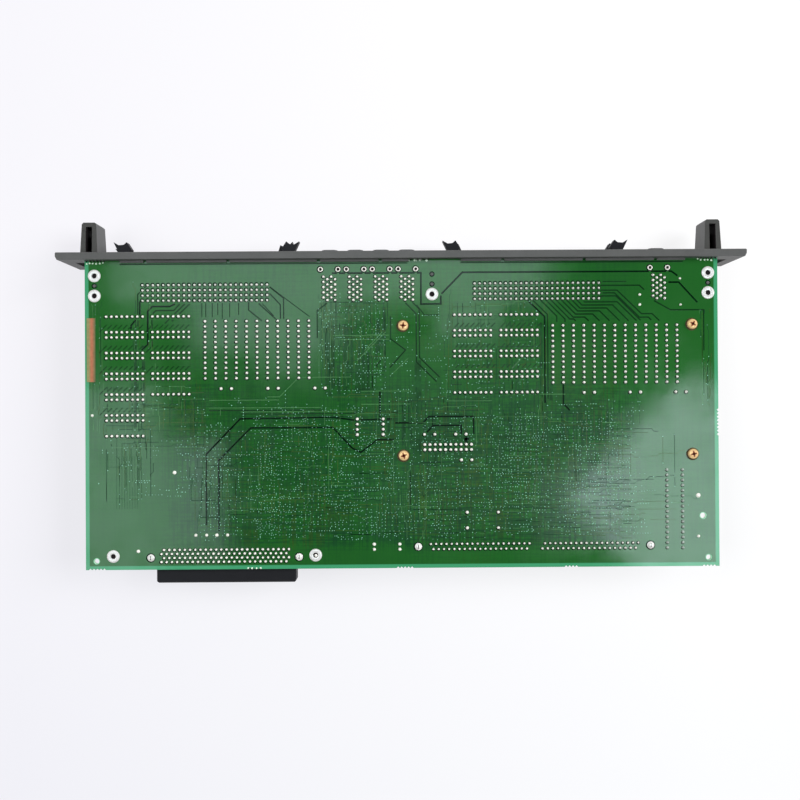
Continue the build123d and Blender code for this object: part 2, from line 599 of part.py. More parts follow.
def panel_pockets():
    """Shallow hollows in the panel's back beyond the header windows."""
    inner_left = -HEADER_X[0] + HEADER_WINDOW_HALF + PANEL_THICKNESS
    outer = PANEL_HALF - POCKET_END_WALL
    z0, z1 = POCKET_FAR_RIM, PANEL_DEPTH - POCKET_NEAR_RIM
    return [span_box(-outer, -inner_left, FRONT, FRONT + POCKET_DEPTH, z0, z1),
            span_box(inner_left, outer, FRONT, FRONT + POCKET_DEPTH, z0, z1)]


def board_lips():
    """Two shelves that lie over the board's front edge, notched where its clips are."""
    lips = []
    spans = ((LIP_INSETS[0] - END, MIDDLE_BRACKET_X - LIP_STEPS[0]),
             (MIDDLE_BRACKET_X + LIP_STEPS[1], END - LIP_INSETS[1]))
    for (x0, x1), shares in zip(spans, LIP_NOTCH_SHARES):
        lip = span_box(x0, x1, FRONT - LIP_REACH, FRONT, BOARD_TOP, BOARD_TOP + LIP_THICKNESS)
        for share in shares:
            x = x0 + (x1 - x0) * share
            lip -= span_box(x - LIP_NOTCH / 2, x + LIP_NOTCH / 2, FRONT - LIP_REACH, FRONT,
                            BOARD_TOP, BOARD_TOP + LIP_THICKNESS)
        lips.append(lip)
    return lips


def front_panel():
    panel = panel_plate() - panel_windows() - panel_pockets()
    panel += [handle(-HANDLE_X), handle(HANDLE_X)]
    foot_end = RIVET_YS[1] - BRACKET_END
    panel += [bracket(-RIVET_X, foot_end), bracket(MIDDLE_BRACKET_X, foot_end), bracket(RIVET_X, foot_end)]
    return panel + board_lips()


# ---- cable headers and latches ---------------------------------------------------------

def cable_header(x):
    """Two stacked shrouds on one right-angle housing, with forked ears for the latches."""
    body = span_box(-SHROUD_HALF, SHROUD_HALF, HEADER_REAR, MOUTH, HEADER_UNDER, BOARD_UNDER)
    ears = span_box(-SHROUD_HALF - EAR_LENGTH, SHROUD_HALF + EAR_LENGTH, HEADER_REAR, EAR_FRONT,
                    HEADER_UNDER, BOARD_UNDER)
    header = body + ears
    for z in DECK_ZS:
        half = SHROUD_CAVITY / 2
        header -= span_box(-CAVITY_HALF, CAVITY_HALF, CAVITY_FLOOR, MOUTH, z - half, z + half)
        header -= span_box(-KEY_WIDTH / 2, KEY_WIDTH / 2, MOUTH - KEY_LENGTH, MOUTH, z, z + half + KEY_DEPTH)
        slot = LATCH_SLOT / 2
        for side in (-1, 1):
            outer = side * (SHROUD_HALF + EAR_LENGTH + 1)
            inner = side * (CAVITY_HALF - 1)
            fork = side * SHROUD_HALF
            header -= span_box(min(inner, outer), max(inner, outer), SLOT_FLOOR, TOE_CLEAR_Y,
                               z - slot, z + slot)
            header -= span_box(min(fork, outer), max(fork, outer), SLOT_FLOOR, MOUTH, z - slot, z + slot)
    for side in (-1, 1):
        header -= small_hole(side * PIVOT_X, PIVOT_Y, 2 * (TRUNNION_RADIUS + TRUNNION_FIT),
                             HEADER_UNDER - 1, BOARD_UNDER - CLEARANCE)
    return Pos(x, 0, 0) * header


def header_pin(row):
    """Bent contact of three sides: one leg in the cavity, the other up through the board."""
    deck, line = divmod(row, HEADER_DECK_ROWS)
    z = DECK_ZS[deck] + (0.5 - line) * PITCH
    y = HEADER_ROW_Y - row * PITCH
    half = HEADER_PIN / 2
    tip = CAVITY_FLOOR + SHROUD_PIN
    top = BOARD_TOP + HEADER_PIN_RISE
    outer = [Vector(0, tip, z - half), Vector(0, y - half, z - half), Vector(0, y - half, top)]
    inner = [Vector(0, tip, z + half), Vector(0, y + half, z + half), Vector(0, y + half, top)]
    left = [point - Vector(half, 0, 0) for point in outer]
    right = [point + Vector(half, 0, 0) for point in outer]
    faces = [(left[0], right[0], inner[0]), (left[2], inner[2], right[2])]
    for i in range(2):
        faces += [(left[i], left[i + 1], right[i + 1], right[i]),
                  (right[i], right[i + 1], inner[i + 1], inner[i]),
                  (inner[i], inner[i + 1], left[i + 1], left[i])]
    return Solid(Shell([Face(Wire.make_polygon(list(face))) for face in faces]))


def header_pins(x):
    pins = []
    for row in range(2 * HEADER_DECK_ROWS):
        pin = header_pin(row)
        pins += [pin.moved(Location((x - HEADER_HALF_PINS + i * PITCH, 0, 0)))
                 for i in range(HEADER_COLUMNS)]
    return Compound(children=pins)


def latch(x, side, z, lean):
    """Ejector latch: a toe under the plug, a stem, a cable hook and a hollowed thumb head."""
    stem = LATCH_STEM / 2
    rise = LATCH_HORN * tan(radians(LATCH_LEAN))
    low = LATCH_HEAD - LATCH_HOLLOW
    toe = [(-stem, -LATCH_STEM / 4), (-LATCH_TOE, -LATCH_STEM / 4), (-LATCH_TOE, 0.6), (-stem, 1.6)]
    inner = [(-stem, LATCH_HEAD - LATCH_NECK), (-LATCH_HOOK, LATCH_HEAD - LATCH_BEAK),
             (-LATCH_HORN, LATCH_HEAD - rise)]
    outer = [(stem, LATCH_HEAD - LATCH_NECK), (stem, 0)]
    hollow = [(-LATCH_HORN * 0.4, low - rise * 0.3), (LATCH_HORN * 0.4, low + rise * 0.3),
              (LATCH_HORN, LATCH_HEAD + rise)]
    heel_end = (-stem * cos(radians(LATCH_HEEL)), -stem * sin(radians(LATCH_HEEL)))
    heel_middle = (stem * sin(radians(LATCH_HEEL / 2)), -stem * cos(radians(LATCH_HEEL / 2)))
    edge = Polyline(heel_end, *toe, *inner, *hollow, *outer)
    heel = ThreePointArc(outer[-1], heel_middle, heel_end)
    blade = extrude(make_face(Curve() + [edge, heel]), LATCH_THICKNESS / 2, both=True)
    reach = LATCH_THICKNESS / 2 + TRUNNION_LENGTH
    blade += small_post(0, 0, 2 * TRUNNION_RADIUS, -reach, reach)
    blade = Rot(0, 0, -lean) * blade
    if side < 0:
        blade = mirror(blade, about=Plane.YZ)
    return Pos(x + side * PIVOT_X, PIVOT_Y, z) * blade


# ---- tall input and output connectors --------------------------------------------------

def chamfered_outline(width, height, corner):
    return chamfer(Rectangle(width, height).vertices(), corner)


def port_plane(x, y):
    """Plane across the mating direction, X to the right and Z as its second axis."""
    return Plane(origin=(x, y, PORT_Z), x_dir=(1, 0, 0), z_dir=(0, 1, 0))


def port_body(x):
    """Moulded body with the contact tongue and the two posts that pass through the board."""
    rear = port_plane(x, PORT_FACE - PORT_LENGTH)
    body = extrude(rear * chamfered_outline(PORT_WIDTH, PORT_HEIGHT, PORT_CHAMFER), PORT_LENGTH)
    tongue_height = SHELL_HEIGHT - 2 * (SHELL_WALL + TONGUE_MARGIN)
    tongue_length = PANEL_FRONT + SHELL_PROUD - TONGUE_RECESS - PORT_FACE
    body += extrude(port_plane(x, PORT_FACE) * Rectangle(TONGUE_WIDTH, tongue_height), tongue_length)
    return body


def port_shell(x):
    """Folded metal shell that guides the plug."""
    ring = chamfered_outline(SHELL_WIDTH, SHELL_HEIGHT, SHELL_CHAMFER)
    inner = chamfered_outline(SHELL_WIDTH - 2 * SHELL_WALL, SHELL_HEIGHT - 2 * SHELL_WALL,
                              SHELL_CHAMFER - SHELL_WALL / 2)
    return extrude(port_plane(x, PORT_FACE) * (ring - inner), PANEL_FRONT + SHELL_PROUD - PORT_FACE)


def port_posts():
    """Ends of the connectors' hold-down posts on the solder side."""
    places = [(x + side * PORT_POST_SPACING / 2, FRONT - PORT_POST_INSET)
              for x in PORT_XS for side in (-1, 1)]
    return group([small_cone(x, y, PORT_POST, PORT_POST / 2, BOARD_TOP, BOARD_TOP + PAD_HEIGHT / 2)
                  for x, y in places])


# ---- backplane connector ---------------------------------------------------------------

def backplane_plug():
    """Right-angle housing with shoulders and a nose that reaches past the board's back edge."""
    rear = BACK - PLUG_OVERHANG
    front = BACK + PLUG_ROW_INSET + (PLUG_ROWS - 1) * PLUG_ROW_SPACING + PLUG_FRONT
    low = BOARD_UNDER - PLUG_HEIGHT
    middle = (BOARD_UNDER + low) / 2
    nose_half = PLUG_NOSE_HEIGHT / 2
    housing = span_box(-PLUG_HALF, PLUG_HALF, rear + PLUG_NOSE_LENGTH, front, low, BOARD_UNDER)
    nose = span_box(-PLUG_NOSE_HALF, PLUG_NOSE_HALF, rear, rear + PLUG_NOSE_LENGTH,
                    middle - nose_half, middle + nose_half)
    nose = chamfer(nose.faces().sort_by(Axis.Y)[0].edges(), PANEL_EDGE)
    for side in (-1, 1):
        z = middle + side * PLUG_NOSE_HEIGHT / 4
        nose -= span_box(-PLUG_HALF_PINS - PITCH / 2, PLUG_HALF_PINS + PITCH / 2, rear,
                         rear + PLUG_SLOT_DEPTH, z - PLUG_SLOT / 2, z + PLUG_SLOT / 2)
    return Pos(PLUG_X, 0, 0) * (housing + nose)


def board_locks():
    """Metal locks of the backplane connector and the card socket, sprung into the board."""
    places = [(x, PLUG_LOCK_Y) for x in PLUG_LOCK_XS] + [(x, SOCKET_ROW_Y) for x in SOCKET_LOCK_XS]
    locks = []
    for x, y in places:
        tip = small_cone(x, y, LOCK_DIAMETER, LOCK_DIAMETER / 2, BOARD_TOP, BOARD_TOP + LOCK_RISE)
        locks.append(small_post(x, y, LOCK_DIAMETER, BOARD_UNDER, BOARD_TOP) + tip)
    return group(locks)


# ---- memory card -----------------------------------------------------------------------

def card_socket():
    """Long socket with a tower at each end that grips the card's edge."""
    half = SOCKET_WIDTH / 2
    base = span_box(-SOCKET_HALF, SOCKET_HALF, -half, half, BOARD_UNDER - SOCKET_HEIGHT, BOARD_UNDER)
    for side in (-1, 1):
        a, b = side * SOCKET_HALF, side * (SOCKET_HALF - SOCKET_TOWER)
        base += span_box(min(a, b), max(a, b), -half * 0.7, half * 0.7, BOARD_UNDER - SOCKET_TOWER_HEIGHT,
                         BOARD_UNDER)
    slot = CARD_THICKNESS / 2 + CARD_FIT
    reach = CARD_HALF + CARD_FIT
    base -= span_box(-reach, reach, -slot, slot, 0, CARD_TOP)
    return Pos(SOCKET_X, SOCKET_ROW_Y, 0) * base


def memory_card():
    return Pos(SOCKET_X, SOCKET_ROW_Y, CARD_TOP / 2) * Box(2 * CARD_HALF, CARD_THICKNESS, CARD_TOP)


def card_chips():
    width, thickness, height = CARD_CHIP
    y = SOCKET_ROW_Y + CARD_THICKNESS / 2 + thickness / 2
    socket_under = BOARD_UNDER - SOCKET_HEIGHT
    height = min(height, socket_under - 2 * CARD_CHIP_GAP)
    z = socket_under - CARD_CHIP_GAP - height / 2
    first = SOCKET_X - (CARD_CHIP_COUNT - 1) * CARD_CHIP_SPACING / 2
    return group([Pos(first + i * CARD_CHIP_SPACING, y, z) * Box(width, thickness, height)
                  for i in range(CARD_CHIP_COUNT)])


# ---- chips and small parts -------------------------------------------------------------

def dip_bank(columns):
    """Sixteen-pin packages."""
    size = (DIP_LENGTH, DIP_WIDTH, DIP_HEIGHT)
    return group([hung_box(x + (DIP_PINS - 1) * PITCH / 2, y - DIP_ROW_SPACING / 2, size,
                           BOARD_UNDER - CHIP_SEAT)
                  for x, y in dip_chips(columns)])


def sip_bank(x, y, count):
    """Tall ceramic modules that stand side by side."""
    size = (SIP_THICKNESS, SIP_LENGTH, SIP_HEIGHT)
    middle = y - (SIP_PINS - 1) * PITCH / 2
    return group([hung_box(x + i * SIP_SPACING, middle, size, BOARD_UNDER - CHIP_SEAT)
                  for i in range(count)])


def flat_chip(x, y, side, top):
    """Square surface-mount package with cut corners."""
    outline = chamfered_outline(side, side, LARGE_CHIP_CORNER)
    return Pos(x, y, top - CHIP_SEAT - LARGE_CHIP_HEIGHT) * extrude(outline, LARGE_CHIP_HEIGHT)


def small_chips():
    x, y = SMALL_CHIP_FIRST[0] - END, SMALL_CHIP_FIRST[1] + BACK
    return group([hung_box(x + i * SMALL_CHIP_SPACING, y - j * SMALL_CHIP_ROW_STEP, SMALL_CHIP_SIZE,
                           BOARD_UNDER - CHIP_SEAT)
                  for i in range(SMALL_CHIP_COLUMNS) for j in range(SMALL_CHIP_ROWS)])


def oscillator():
    x = OSCILLATOR_PIN[0] + OSCILLATOR_SPAN[0] / 2
    y = OSCILLATOR_PIN[1] - OSCILLATOR_SPAN[1] / 2
    length, width, height = OSCILLATOR_SIZE
    can = extrude(chamfered_outline(length, width, OSCILLATOR_CORNER), height)
    can = chamfer(can.faces().sort_by(Axis.Z)[0].edges(), CHIP_SEAT)
    return Pos(x, y, BOARD_UNDER - CHIP_SEAT - height) * can


def transformer():
    x = TRANSFORMER_PIN[0] + TRANSFORMER_SPAN / 2
    y = TRANSFORMER_PIN[1] - (TRANSFORMER_PINS - 1) * PITCH / 2
    return hung_box(x, y, TRANSFORMER_SIZE, BOARD_UNDER - CHIP_SEAT)


def capacitors():
    return group([hung_box(x + CAPACITOR_SPAN / 2, y, CAPACITOR_SIZE, BOARD_UNDER - CHIP_SEAT)
                  for x, y in CAPACITOR_PINS])


# ---- daughter board --------------------------------------------------------------------

def standoff(x, y):
    """Hexagonal spacer, tapped at both ends."""
    bar = small_hole(x, y, STANDOFF_FLATS, DAUGHTER_TOP, BOARD_UNDER, flats=6)
    return bar - small_hole(x, y, SCREW_SHANK + 2 * SCREW_FIT, DAUGHTER_TOP, BOARD_UNDER)


def screw(x, y, face, outward):
    """Pan-head screw whose head sits on a face; outward is 1 for up and -1 for down."""
    head = small_cone(0, 0, SCREW_HEAD, SCREW_HEAD * 0.6, 0, SCREW_HEAD_HEIGHT)
    body = head + small_post(0, 0, SCREW_SHANK, -BOARD_THICKNESS - SCREW_GRIP, 0)
    if outward < 0:
        body = Rot(180, 0, 0) * body
    return Pos(x, y, face) * body


def daughter_board():
    board = span_box(DAUGHTER_LEFT, DAUGHTER_RIGHT, DAUGHTER_BACK, DAUGHTER_FRONT,
                     DAUGHTER_UNDER, DAUGHTER_TOP)
    holes = [small_hole(x, y, SCREW_SHANK + 2 * SCREW_FIT, DAUGHTER_UNDER - 1, DAUGHTER_TOP + 1)
             for x, y in SCREW_PLACES]
    return board - holes


def stack_header(low, high):
    """One half of the stacking connector between the two boards."""
    x = STACK_PIN[0] + (STACK_COLUMNS - 1) * PITCH / 2
    y = STACK_PIN[1] - PITCH / 2
    half_x = (STACK_COLUMNS - 1) * PITCH / 2 + STACK_WALL
    half_y = PITCH / 2 + STACK_WALL
    return span_box(x - half_x, x + half_x, y - half_y, y + half_y, low, high)


# ---- nodes -----------------------------------------------------------------------------

save("main_board", main_board())
save("copper_strip", copper_strip())
save("front_panel", front_panel())
save("rivets", group([rivet(x, y) for x, y in rivet_places()]))
save("board_locks", board_locks())

for name, centre in zip(("left", "right"), HEADER_X):
    save(f"cable_header_{name}", cable_header(centre))
    save(f"header_pins_{name}", header_pins(centre))
    for side_name, side in (("a", -1), ("b", 1)):
        for deck_name, deck_z in zip(("near", "far"), DECK_ZS):
            node = f"latch_{name}_{side_name}_{deck_name}"
            save(node, latch(centre, side, deck_z, LATCH_LEANS.get(node, LATCH_LEAN)))

for number, port_x in enumerate(PORT_XS, 1):
    save(f"port_body_{number}", port_body(port_x))
    save(f"port_shell_{number}", port_shell(port_x))
save("port_posts", port_posts())

save("backplane_plug", backplane_plug())
save("card_socket", card_socket())
save("memory_card", memory_card())
save("card_chips", card_chips())

save("driver_chips_left", dip_bank(DIPS_LEFT))
save("driver_chips_right", dip_bank(DIPS_RIGHT))
save("hybrid_modules_left", sip_bank(*SIPS_LEFT))
save("hybrid_modules_right", sip_bank(*SIPS_RIGHT))
save("memory_chip", hung_box(MEMORY_CHIP_X, MEMORY_CHIP_Y, MEMORY_CHIP_SIZE, BOARD_UNDER - CHIP_SEAT))
save("gate_arrays", group([flat_chip(x - END, y + BACK, side, BOARD_UNDER) for x, y, side in LARGE_CHIPS]))
save("buffer_chips", small_chips())
save("oscillator", oscillator())
save("transformer", transformer())
save("capacitors", capacitors())

save("standoffs", group([standoff(x, y) for x, y in SCREW_PLACES]))
save("screws", group([screw(x, y, BOARD_TOP, 1) for x, y in SCREW_PLACES]))
save("daughter_screws", group([screw(x, y, DAUGHTER_UNDER, -1) for x, y in SCREW_PLACES]))
save("daughter_board", daughter_board())
save("daughter_chips", group([flat_chip(DAUGHTER_LEFT + x, DAUGHTER_BACK + y, side, DAUGHTER_UNDER)
                              for x, y, side in DAUGHTER_CHIPS]))
save("daughter_plug", hung_box(DAUGHTER_RIGHT - DAUGHTER_PLUG_INSET, DAUGHTER_BACK + DAUGHTER_PLUG_BACKSET,
                               DAUGHTER_PLUG_SIZE, DAUGHTER_UNDER))
save("stack_pins_housing", stack_header(DAUGHTER_TOP + STACK_SPLIT, BOARD_UNDER))
save("stack_socket", stack_header(DAUGHTER_TOP, DAUGHTER_TOP + STACK_SPLIT))

save("solder_left", solder(dip_pins(DIPS_LEFT) + sip_pins(*SIPS_LEFT)))
save("solder_right", solder(dip_pins(DIPS_RIGHT) + sip_pins(*SIPS_RIGHT)))
save("solder_ports", solder([place for x in PORT_XS for place in port_pins(x)]))
save("solder_plug", solder(plug_pins()))
save("solder_socket", solder(socket_pins()))
save("solder_small_parts", solder(small_part_pins()))
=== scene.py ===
"""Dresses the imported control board: finishes, solder, traces, leads, fasteners and the studio."""
import json
import math
import random

import bmesh
import bpy
from bpy.props import FloatProperty, FloatVectorProperty, IntProperty, PointerProperty
from bpy.types import Operator, Panel, PropertyGroup
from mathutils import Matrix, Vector


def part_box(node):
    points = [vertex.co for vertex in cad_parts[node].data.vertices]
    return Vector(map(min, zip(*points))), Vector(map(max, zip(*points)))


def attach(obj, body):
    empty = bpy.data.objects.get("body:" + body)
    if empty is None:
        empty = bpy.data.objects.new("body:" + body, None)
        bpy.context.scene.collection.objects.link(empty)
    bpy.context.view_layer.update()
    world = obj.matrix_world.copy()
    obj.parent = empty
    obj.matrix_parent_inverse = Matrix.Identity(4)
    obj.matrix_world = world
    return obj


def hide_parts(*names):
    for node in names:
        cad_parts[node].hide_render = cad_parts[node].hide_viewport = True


bl_info = {
    "name": "Control board dresser",
    "version": (1, 0, 0),
    "blender": (4, 5, 0),
    "location": "3D View > Sidebar > Control Board",
    "description": "Finishes, solder joints, traces, leads and studio for a plug-in control board",
    "category": "Object",
}

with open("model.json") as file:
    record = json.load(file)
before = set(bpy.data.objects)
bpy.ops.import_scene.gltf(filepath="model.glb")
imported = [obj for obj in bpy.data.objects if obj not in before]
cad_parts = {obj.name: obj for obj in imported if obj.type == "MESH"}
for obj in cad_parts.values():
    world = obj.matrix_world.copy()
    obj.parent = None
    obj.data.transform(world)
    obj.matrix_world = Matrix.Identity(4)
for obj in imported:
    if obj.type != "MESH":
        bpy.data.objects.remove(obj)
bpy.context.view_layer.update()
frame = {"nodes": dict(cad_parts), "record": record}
NODES = frame["nodes"]
MM = 0.001      # Shapes are worked out in millimetres, and settings and shaders in metres.


def corners(points):
    """Lowest and highest corner of some points."""
    return [Vector([pick(p[k] for p in points) for k in range(3)]) for pick in (min, max)]


def box(node):
    """Lowest and highest corner of a node, in millimetres."""
    return [Vector(corner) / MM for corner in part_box(node)]


def solids(name):
    """The points of every separate solid in a node, in metres, sorted by their low corners."""
    mesh = NODES[name].data
    places = {}
    index = [places.setdefault(tuple(round(c * 1e6) for c in vertex.co), len(places))
             for vertex in mesh.vertices]
    parent = list(range(len(places)))

    def root(i):
        while parent[i] != i:
            parent[i] = parent[parent[i]]
            i = parent[i]
        return i

    for edge in mesh.edges:
        a, b = (root(index[v]) for v in edge.vertices)
        parent[a] = b
    groups = {}
    for vertex in mesh.vertices:
        groups.setdefault(root(index[vertex.index]), []).append(vertex.co.copy())
    return sorted(groups.values(), key=lambda group: [round(c, 5) for c in corners(group)[0][:2]])


def boxes(*names):
    """Lowest and highest corners, in millimetres, of every solid in some nodes."""
    return [[corner / MM for corner in corners(group)] for name in names for group in solids(name)]


def tips(name):
    """Middle of the highest face of every solid in a node, and its height, in millimetres."""
    for group in solids(name):
        top = max(p.z for p in group)
        low, high = corners([p for p in group if p.z > top - 1e-5])
        yield (low.x + high.x) / 2 / MM, (low.y + high.y) / 2 / MM, top / MM


BOARD_LOW, BOARD_HIGH = (Vector(corner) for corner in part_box("main_board"))
BOARD_MIDDLE = (BOARD_LOW + BOARD_HIGH) / 2
MIDDLE_X, MIDDLE_Y = BOARD_MIDDLE.x / MM, BOARD_MIDDLE.y / MM
SOLDER_FACE, PART_FACE = BOARD_HIGH.z / MM, BOARD_LOW.z / MM


def on_board(x, y):
    """A layout place, from the board's middle, as a place in the frame."""
    return MIDDLE_X + x, MIDDLE_Y + y


def layout(x, y):
    """A place in the frame as a layout place."""
    return x - MIDDLE_X, y - MIDDLE_Y


def round_of(low, high):
    """Middle and radius of an upright round solid."""
    return (low.x + high.x) / 2, (low.y + high.y) / 2, (high.x - low.x) / 2


# ---- shader maths ----------------------------------------------------------------

class Wire:
    """A socket of a finish that can be used in Python expressions."""

    def __init__(self, finish, socket):
        self.finish = finish
        self.socket = socket

    def __add__(self, other):
        return self.finish.math("ADD", self, other)

    def __radd__(self, other):
        return self.finish.math("ADD", other, self)

    def __sub__(self, other):
        return self.finish.math("SUBTRACT", self, other)

    def __rsub__(self, other):
        return self.finish.math("SUBTRACT", other, self)

    def __mul__(self, other):
        return self.finish.math("MULTIPLY", self, other)

    def __rmul__(self, other):
        return self.finish.math("MULTIPLY", other, self)

    def __gt__(self, other):
        return self.finish.math("GREATER_THAN", self, other)


class Finish:
    """The nodes of a material, or of the world, round its one shader."""

    def __init__(self, owner, shader="Principled BSDF", **constants):
        self.owner = owner
        owner.use_nodes = True
        self.tree = owner.node_tree
        self.shader = self.tree.nodes[shader]
        self.set(**constants)

    def add(self, kind, settings=None, inputs=None, output=0):
        """One node of any kind. Settings come first, then values or links for its sockets."""
        node = self.tree.nodes.new(kind)
        for key, value in (settings or {}).items():
            if key == "stops":
                for element, (position, tone) in zip(node.color_ramp.elements, value):
                    element.position = position
                    element.color = (*tone, 1.0)
            else:
                setattr(node, key, value)
        for key, value in (inputs or {}).items():
            self.feed(node.inputs[key], value)
        return Wire(self, node.outputs[output])

    def feed(self, socket, value):
        """Links a wire, or sets a value. A colour gets its fourth number."""
        if isinstance(value, Wire):
            self.tree.links.new(value.socket, socket)
        else:
            socket.default_value = (*value, 1.0) if socket.type == "RGBA" and len(value) == 3 else value

    def set(self, **values):
        for key, value in values.items():
            self.feed(self.shader.inputs[key.replace("_", " ")], value)

    def math(self, operation, *values):
        return self.add("ShaderNodeMath", {"operation": operation}, dict(enumerate(values)))

    def place(self):
        return self.add("ShaderNodeTexCoord", output="Object")

    def axes(self):
        split = self.add("ShaderNodeSeparateXYZ", inputs={0: self.place()})
        return [Wire(self, output) for output in split.socket.node.outputs]

    def noise(self, scale, detail=2.0, roughness=0.5, stretch=None):
        place = self.place()
        if stretch:
            place = self.add("ShaderNodeVectorMath", {"operation": "MULTIPLY"}, {0: place, 1: stretch})
        return self.add("ShaderNodeTexNoise", {}, {"Vector": place, "Scale": scale, "Detail": detail,
                                                   "Roughness": roughness})

    def span(self, value, low, high, to_low=0.0, to_high=1.0):
        return self.add("ShaderNodeMapRange", {}, {"Value": value, "From Min": low, "From Max": high,
                                                   "To Min": to_low, "To Max": to_high})

    def blend(self, factor, first, second, mode="MIX"):
        return self.add("ShaderNodeMix", {"data_type": "RGBA", "blend_type": mode},
                        {0: factor, 6: first, 7: second}, output=2)

    def bump(self, height, strength, distance):
        self.set(Normal=self.add("ShaderNodeBump", {}, {"Strength": strength, "Distance": distance * MM,
                                                        "Height": height}))

    def seen(self):
        """1 for the camera, and for what metal and glass show, and 0 for light on the object."""
        rays = self.add("ShaderNodeLightPath").socket.node.outputs
        camera, glossy, transmission = (Wire(self, rays[f"Is {ray} Ray"])
                                        for ray in ("Camera", "Glossy", "Transmission"))
        return camera + glossy + transmission > 0.5


def material(name, **constants):
    return Finish(bpy.data.materials.new(name), **constants)


def shade(colour, factor):
    return tuple(min(1.0, c * factor) for c in colour)


# ---- mesh building ---------------------------------------------------------------

def neighbours(path, i):
    """The points before and after a point of a path, or the point itself at an end."""
    return Vector(path[max(i - 1, 0)]), Vector(path[min(i + 1, len(path) - 1)])


class Shape:
    """Points and faces of one piece, gathered in millimetres before the piece is made."""

    def __init__(self):
        self.points = []
        self.faces = []
        self.slots = []

    def add(self, points, faces, slot=0):
        base = len(self.points)
        self.points += [tuple(c * MM for c in p) for p in points]
        self.faces += [tuple(base + i for i in face) for face in faces]
        self.slots += [slot] * len(faces)

    def loft(self, rings, slot=0, caps=True):
        """A skin over rings of points. A ring of one point is a tip, and caps close the end rings."""
        points, rows, faces = [], [], []
        for ring in rings:
            rows.append(range(len(points), len(points) + len(ring)))
            points += ring
        for lower, upper in zip(rows, rows[1:]):
            count = max(len(lower), len(upper))
            for i in range(count):
                j = (i + 1) % count
                corner = ((lower, i), (lower, j), (upper, j), (upper, i))
                faces.append(tuple(dict.fromkeys(row[k % len(row)] for row, k in corner)))
        if caps:
            faces += [tuple(reversed(rows[0])), tuple(rows[-1])]
        self.add(points, faces, slot)

    def lathe(self, centre, profile, sides, slot=0, lean=(0.0, 0.0), turn=0.0):
        """Turned form on an upright axis. The profile is (radius, height) pairs, from foot to tip."""
        x, y, z = centre
        rings = []
        for radius, height in profile:
            angles = [turn + 2 * math.pi * i / sides for i in range(sides if radius else 1)]
            rings.append([(x + lean[0] * height + radius * math.cos(angle),
                           y + lean[1] * height + radius * math.sin(angle), z + height) for angle in angles])
        self.loft(rings, slot, caps=False)

    def washer(self, x, y, foot, top, bore, rise, sides):
        """A thin raised ring on the solder side, of three radii."""
        self.lathe((x, y, SOLDER_FACE), ((foot, 0), (top, rise), (bore, rise)), sides)

    def bar(self, low, high, slot=0):
        """A block with square edges."""
        (x0, y0, z0), (x1, y1, z1) = low, high
        points = [(x, y, z) for z in (z0, z1) for x, y in ((x0, y0), (x1, y0), (x1, y1), (x0, y1))]
        faces = [(3, 2, 1, 0), (4, 5, 6, 7), (0, 1, 5, 4), (1, 2, 6, 5), (2, 3, 7, 6), (3, 0, 4, 7)]
        self.add(points, faces, slot)

    def moulding(self, low, high, draft=0.0, corner=0.0, slot=0):
        """A block with sloping sides that is widest at half its height, and cut corners."""
        (x0, y0, z0), (x1, y1, z1) = low, high
        rings = []
        for height, inset in ((z0, draft), (z0 + (z1 - z0) * 0.5, 0.0), (z1, draft)):
            a, b, c, d = x0 + inset, y0 + inset, x1 - inset, y1 - inset
            k = min(corner, (c - a) / 3, (d - b) / 3)
            ring = ((a + k, b), (c - k, b), (c, b + k), (c, d - k),
                    (c - k, d), (a + k, d), (a, d - k), (a, b + k))
            rings.append([(x, y, height) for x, y in dict.fromkeys(ring)])
        self.loft(rings, slot)

    def ribbon(self, path, width, level, height, slot=0):
        """A flat raised line with sloping sides along points in the board's plane."""
        points, faces = [], []
        for i, point in enumerate(path):
            here = Vector(point)
            before, after = neighbours(path, i)
            first = (here - before).normalized() if i else (after - here).normalized()
            second = (after - here).normalized() if i < len(path) - 1 else first
            mitre = first + second
            if mitre.length < 1e-6:
                mitre = first.copy()
            mitre.normalize()
            side = Vector((-mitre.y, mitre.x)) / max(0.4, mitre.dot(first)) * width / 2
            points += [(here.x + side.x * k, here.y + side.y * k, level + rise)
                       for k, rise in ((1, 0), (0.72, height), (-0.72, height), (-1, 0))]
        for a in range(len(points) - 4):
            if a % 4 < 3:
                face = (a, a + 4, a + 5, a + 1)
                faces.append(face[::-1] if height > 0 else face)
        self.add(points, faces, slot)

    def lead(self, root, outward, path, width, thickness, slot=1):
        """A bent flat lead. The path is (distance outward, height) pairs from the root."""
        up = Vector((0, 0, 1))
        along = up.cross(outward) * width / 2
        rings = []
        for i, (reach, height) in enumerate(path):
            before, after = neighbours(path, i)
            run = (after - before).normalized() * thickness / 2
            rings.append([root + outward * (reach - s * run.y) + up * (height + s * run.x) + along * t
                          for s, t in ((-1, -1), (-1, 1), (1, 1), (1, -1))])
        self.loft(rings, slot)


def body_of(node):
    """The CAD body that carries a node."""
    return next(b for b, members in frame["record"]["behaviour"]["bodies"].items() if node in members)


def slot_of(node):
    """The material slot that the record gives a node."""
    return next(p["material_slot"] for p in frame["record"]["subparts"] if p["node"] == node)


def cast(node):
    """A clean copy of a node's mesh, with its flat faces joined."""
    work = bmesh.new()
    work.from_mesh(NODES[node].data)
    bmesh.ops.remove_doubles(work, verts=work.verts, dist=1e-6)
    bmesh.ops.dissolve_limit(work, angle_limit=math.radians(0.6), verts=work.verts, edges=work.edges)
    mesh = bpy.data.meshes.new(node)
    work.to_mesh(mesh)
    work.free()
    return mesh


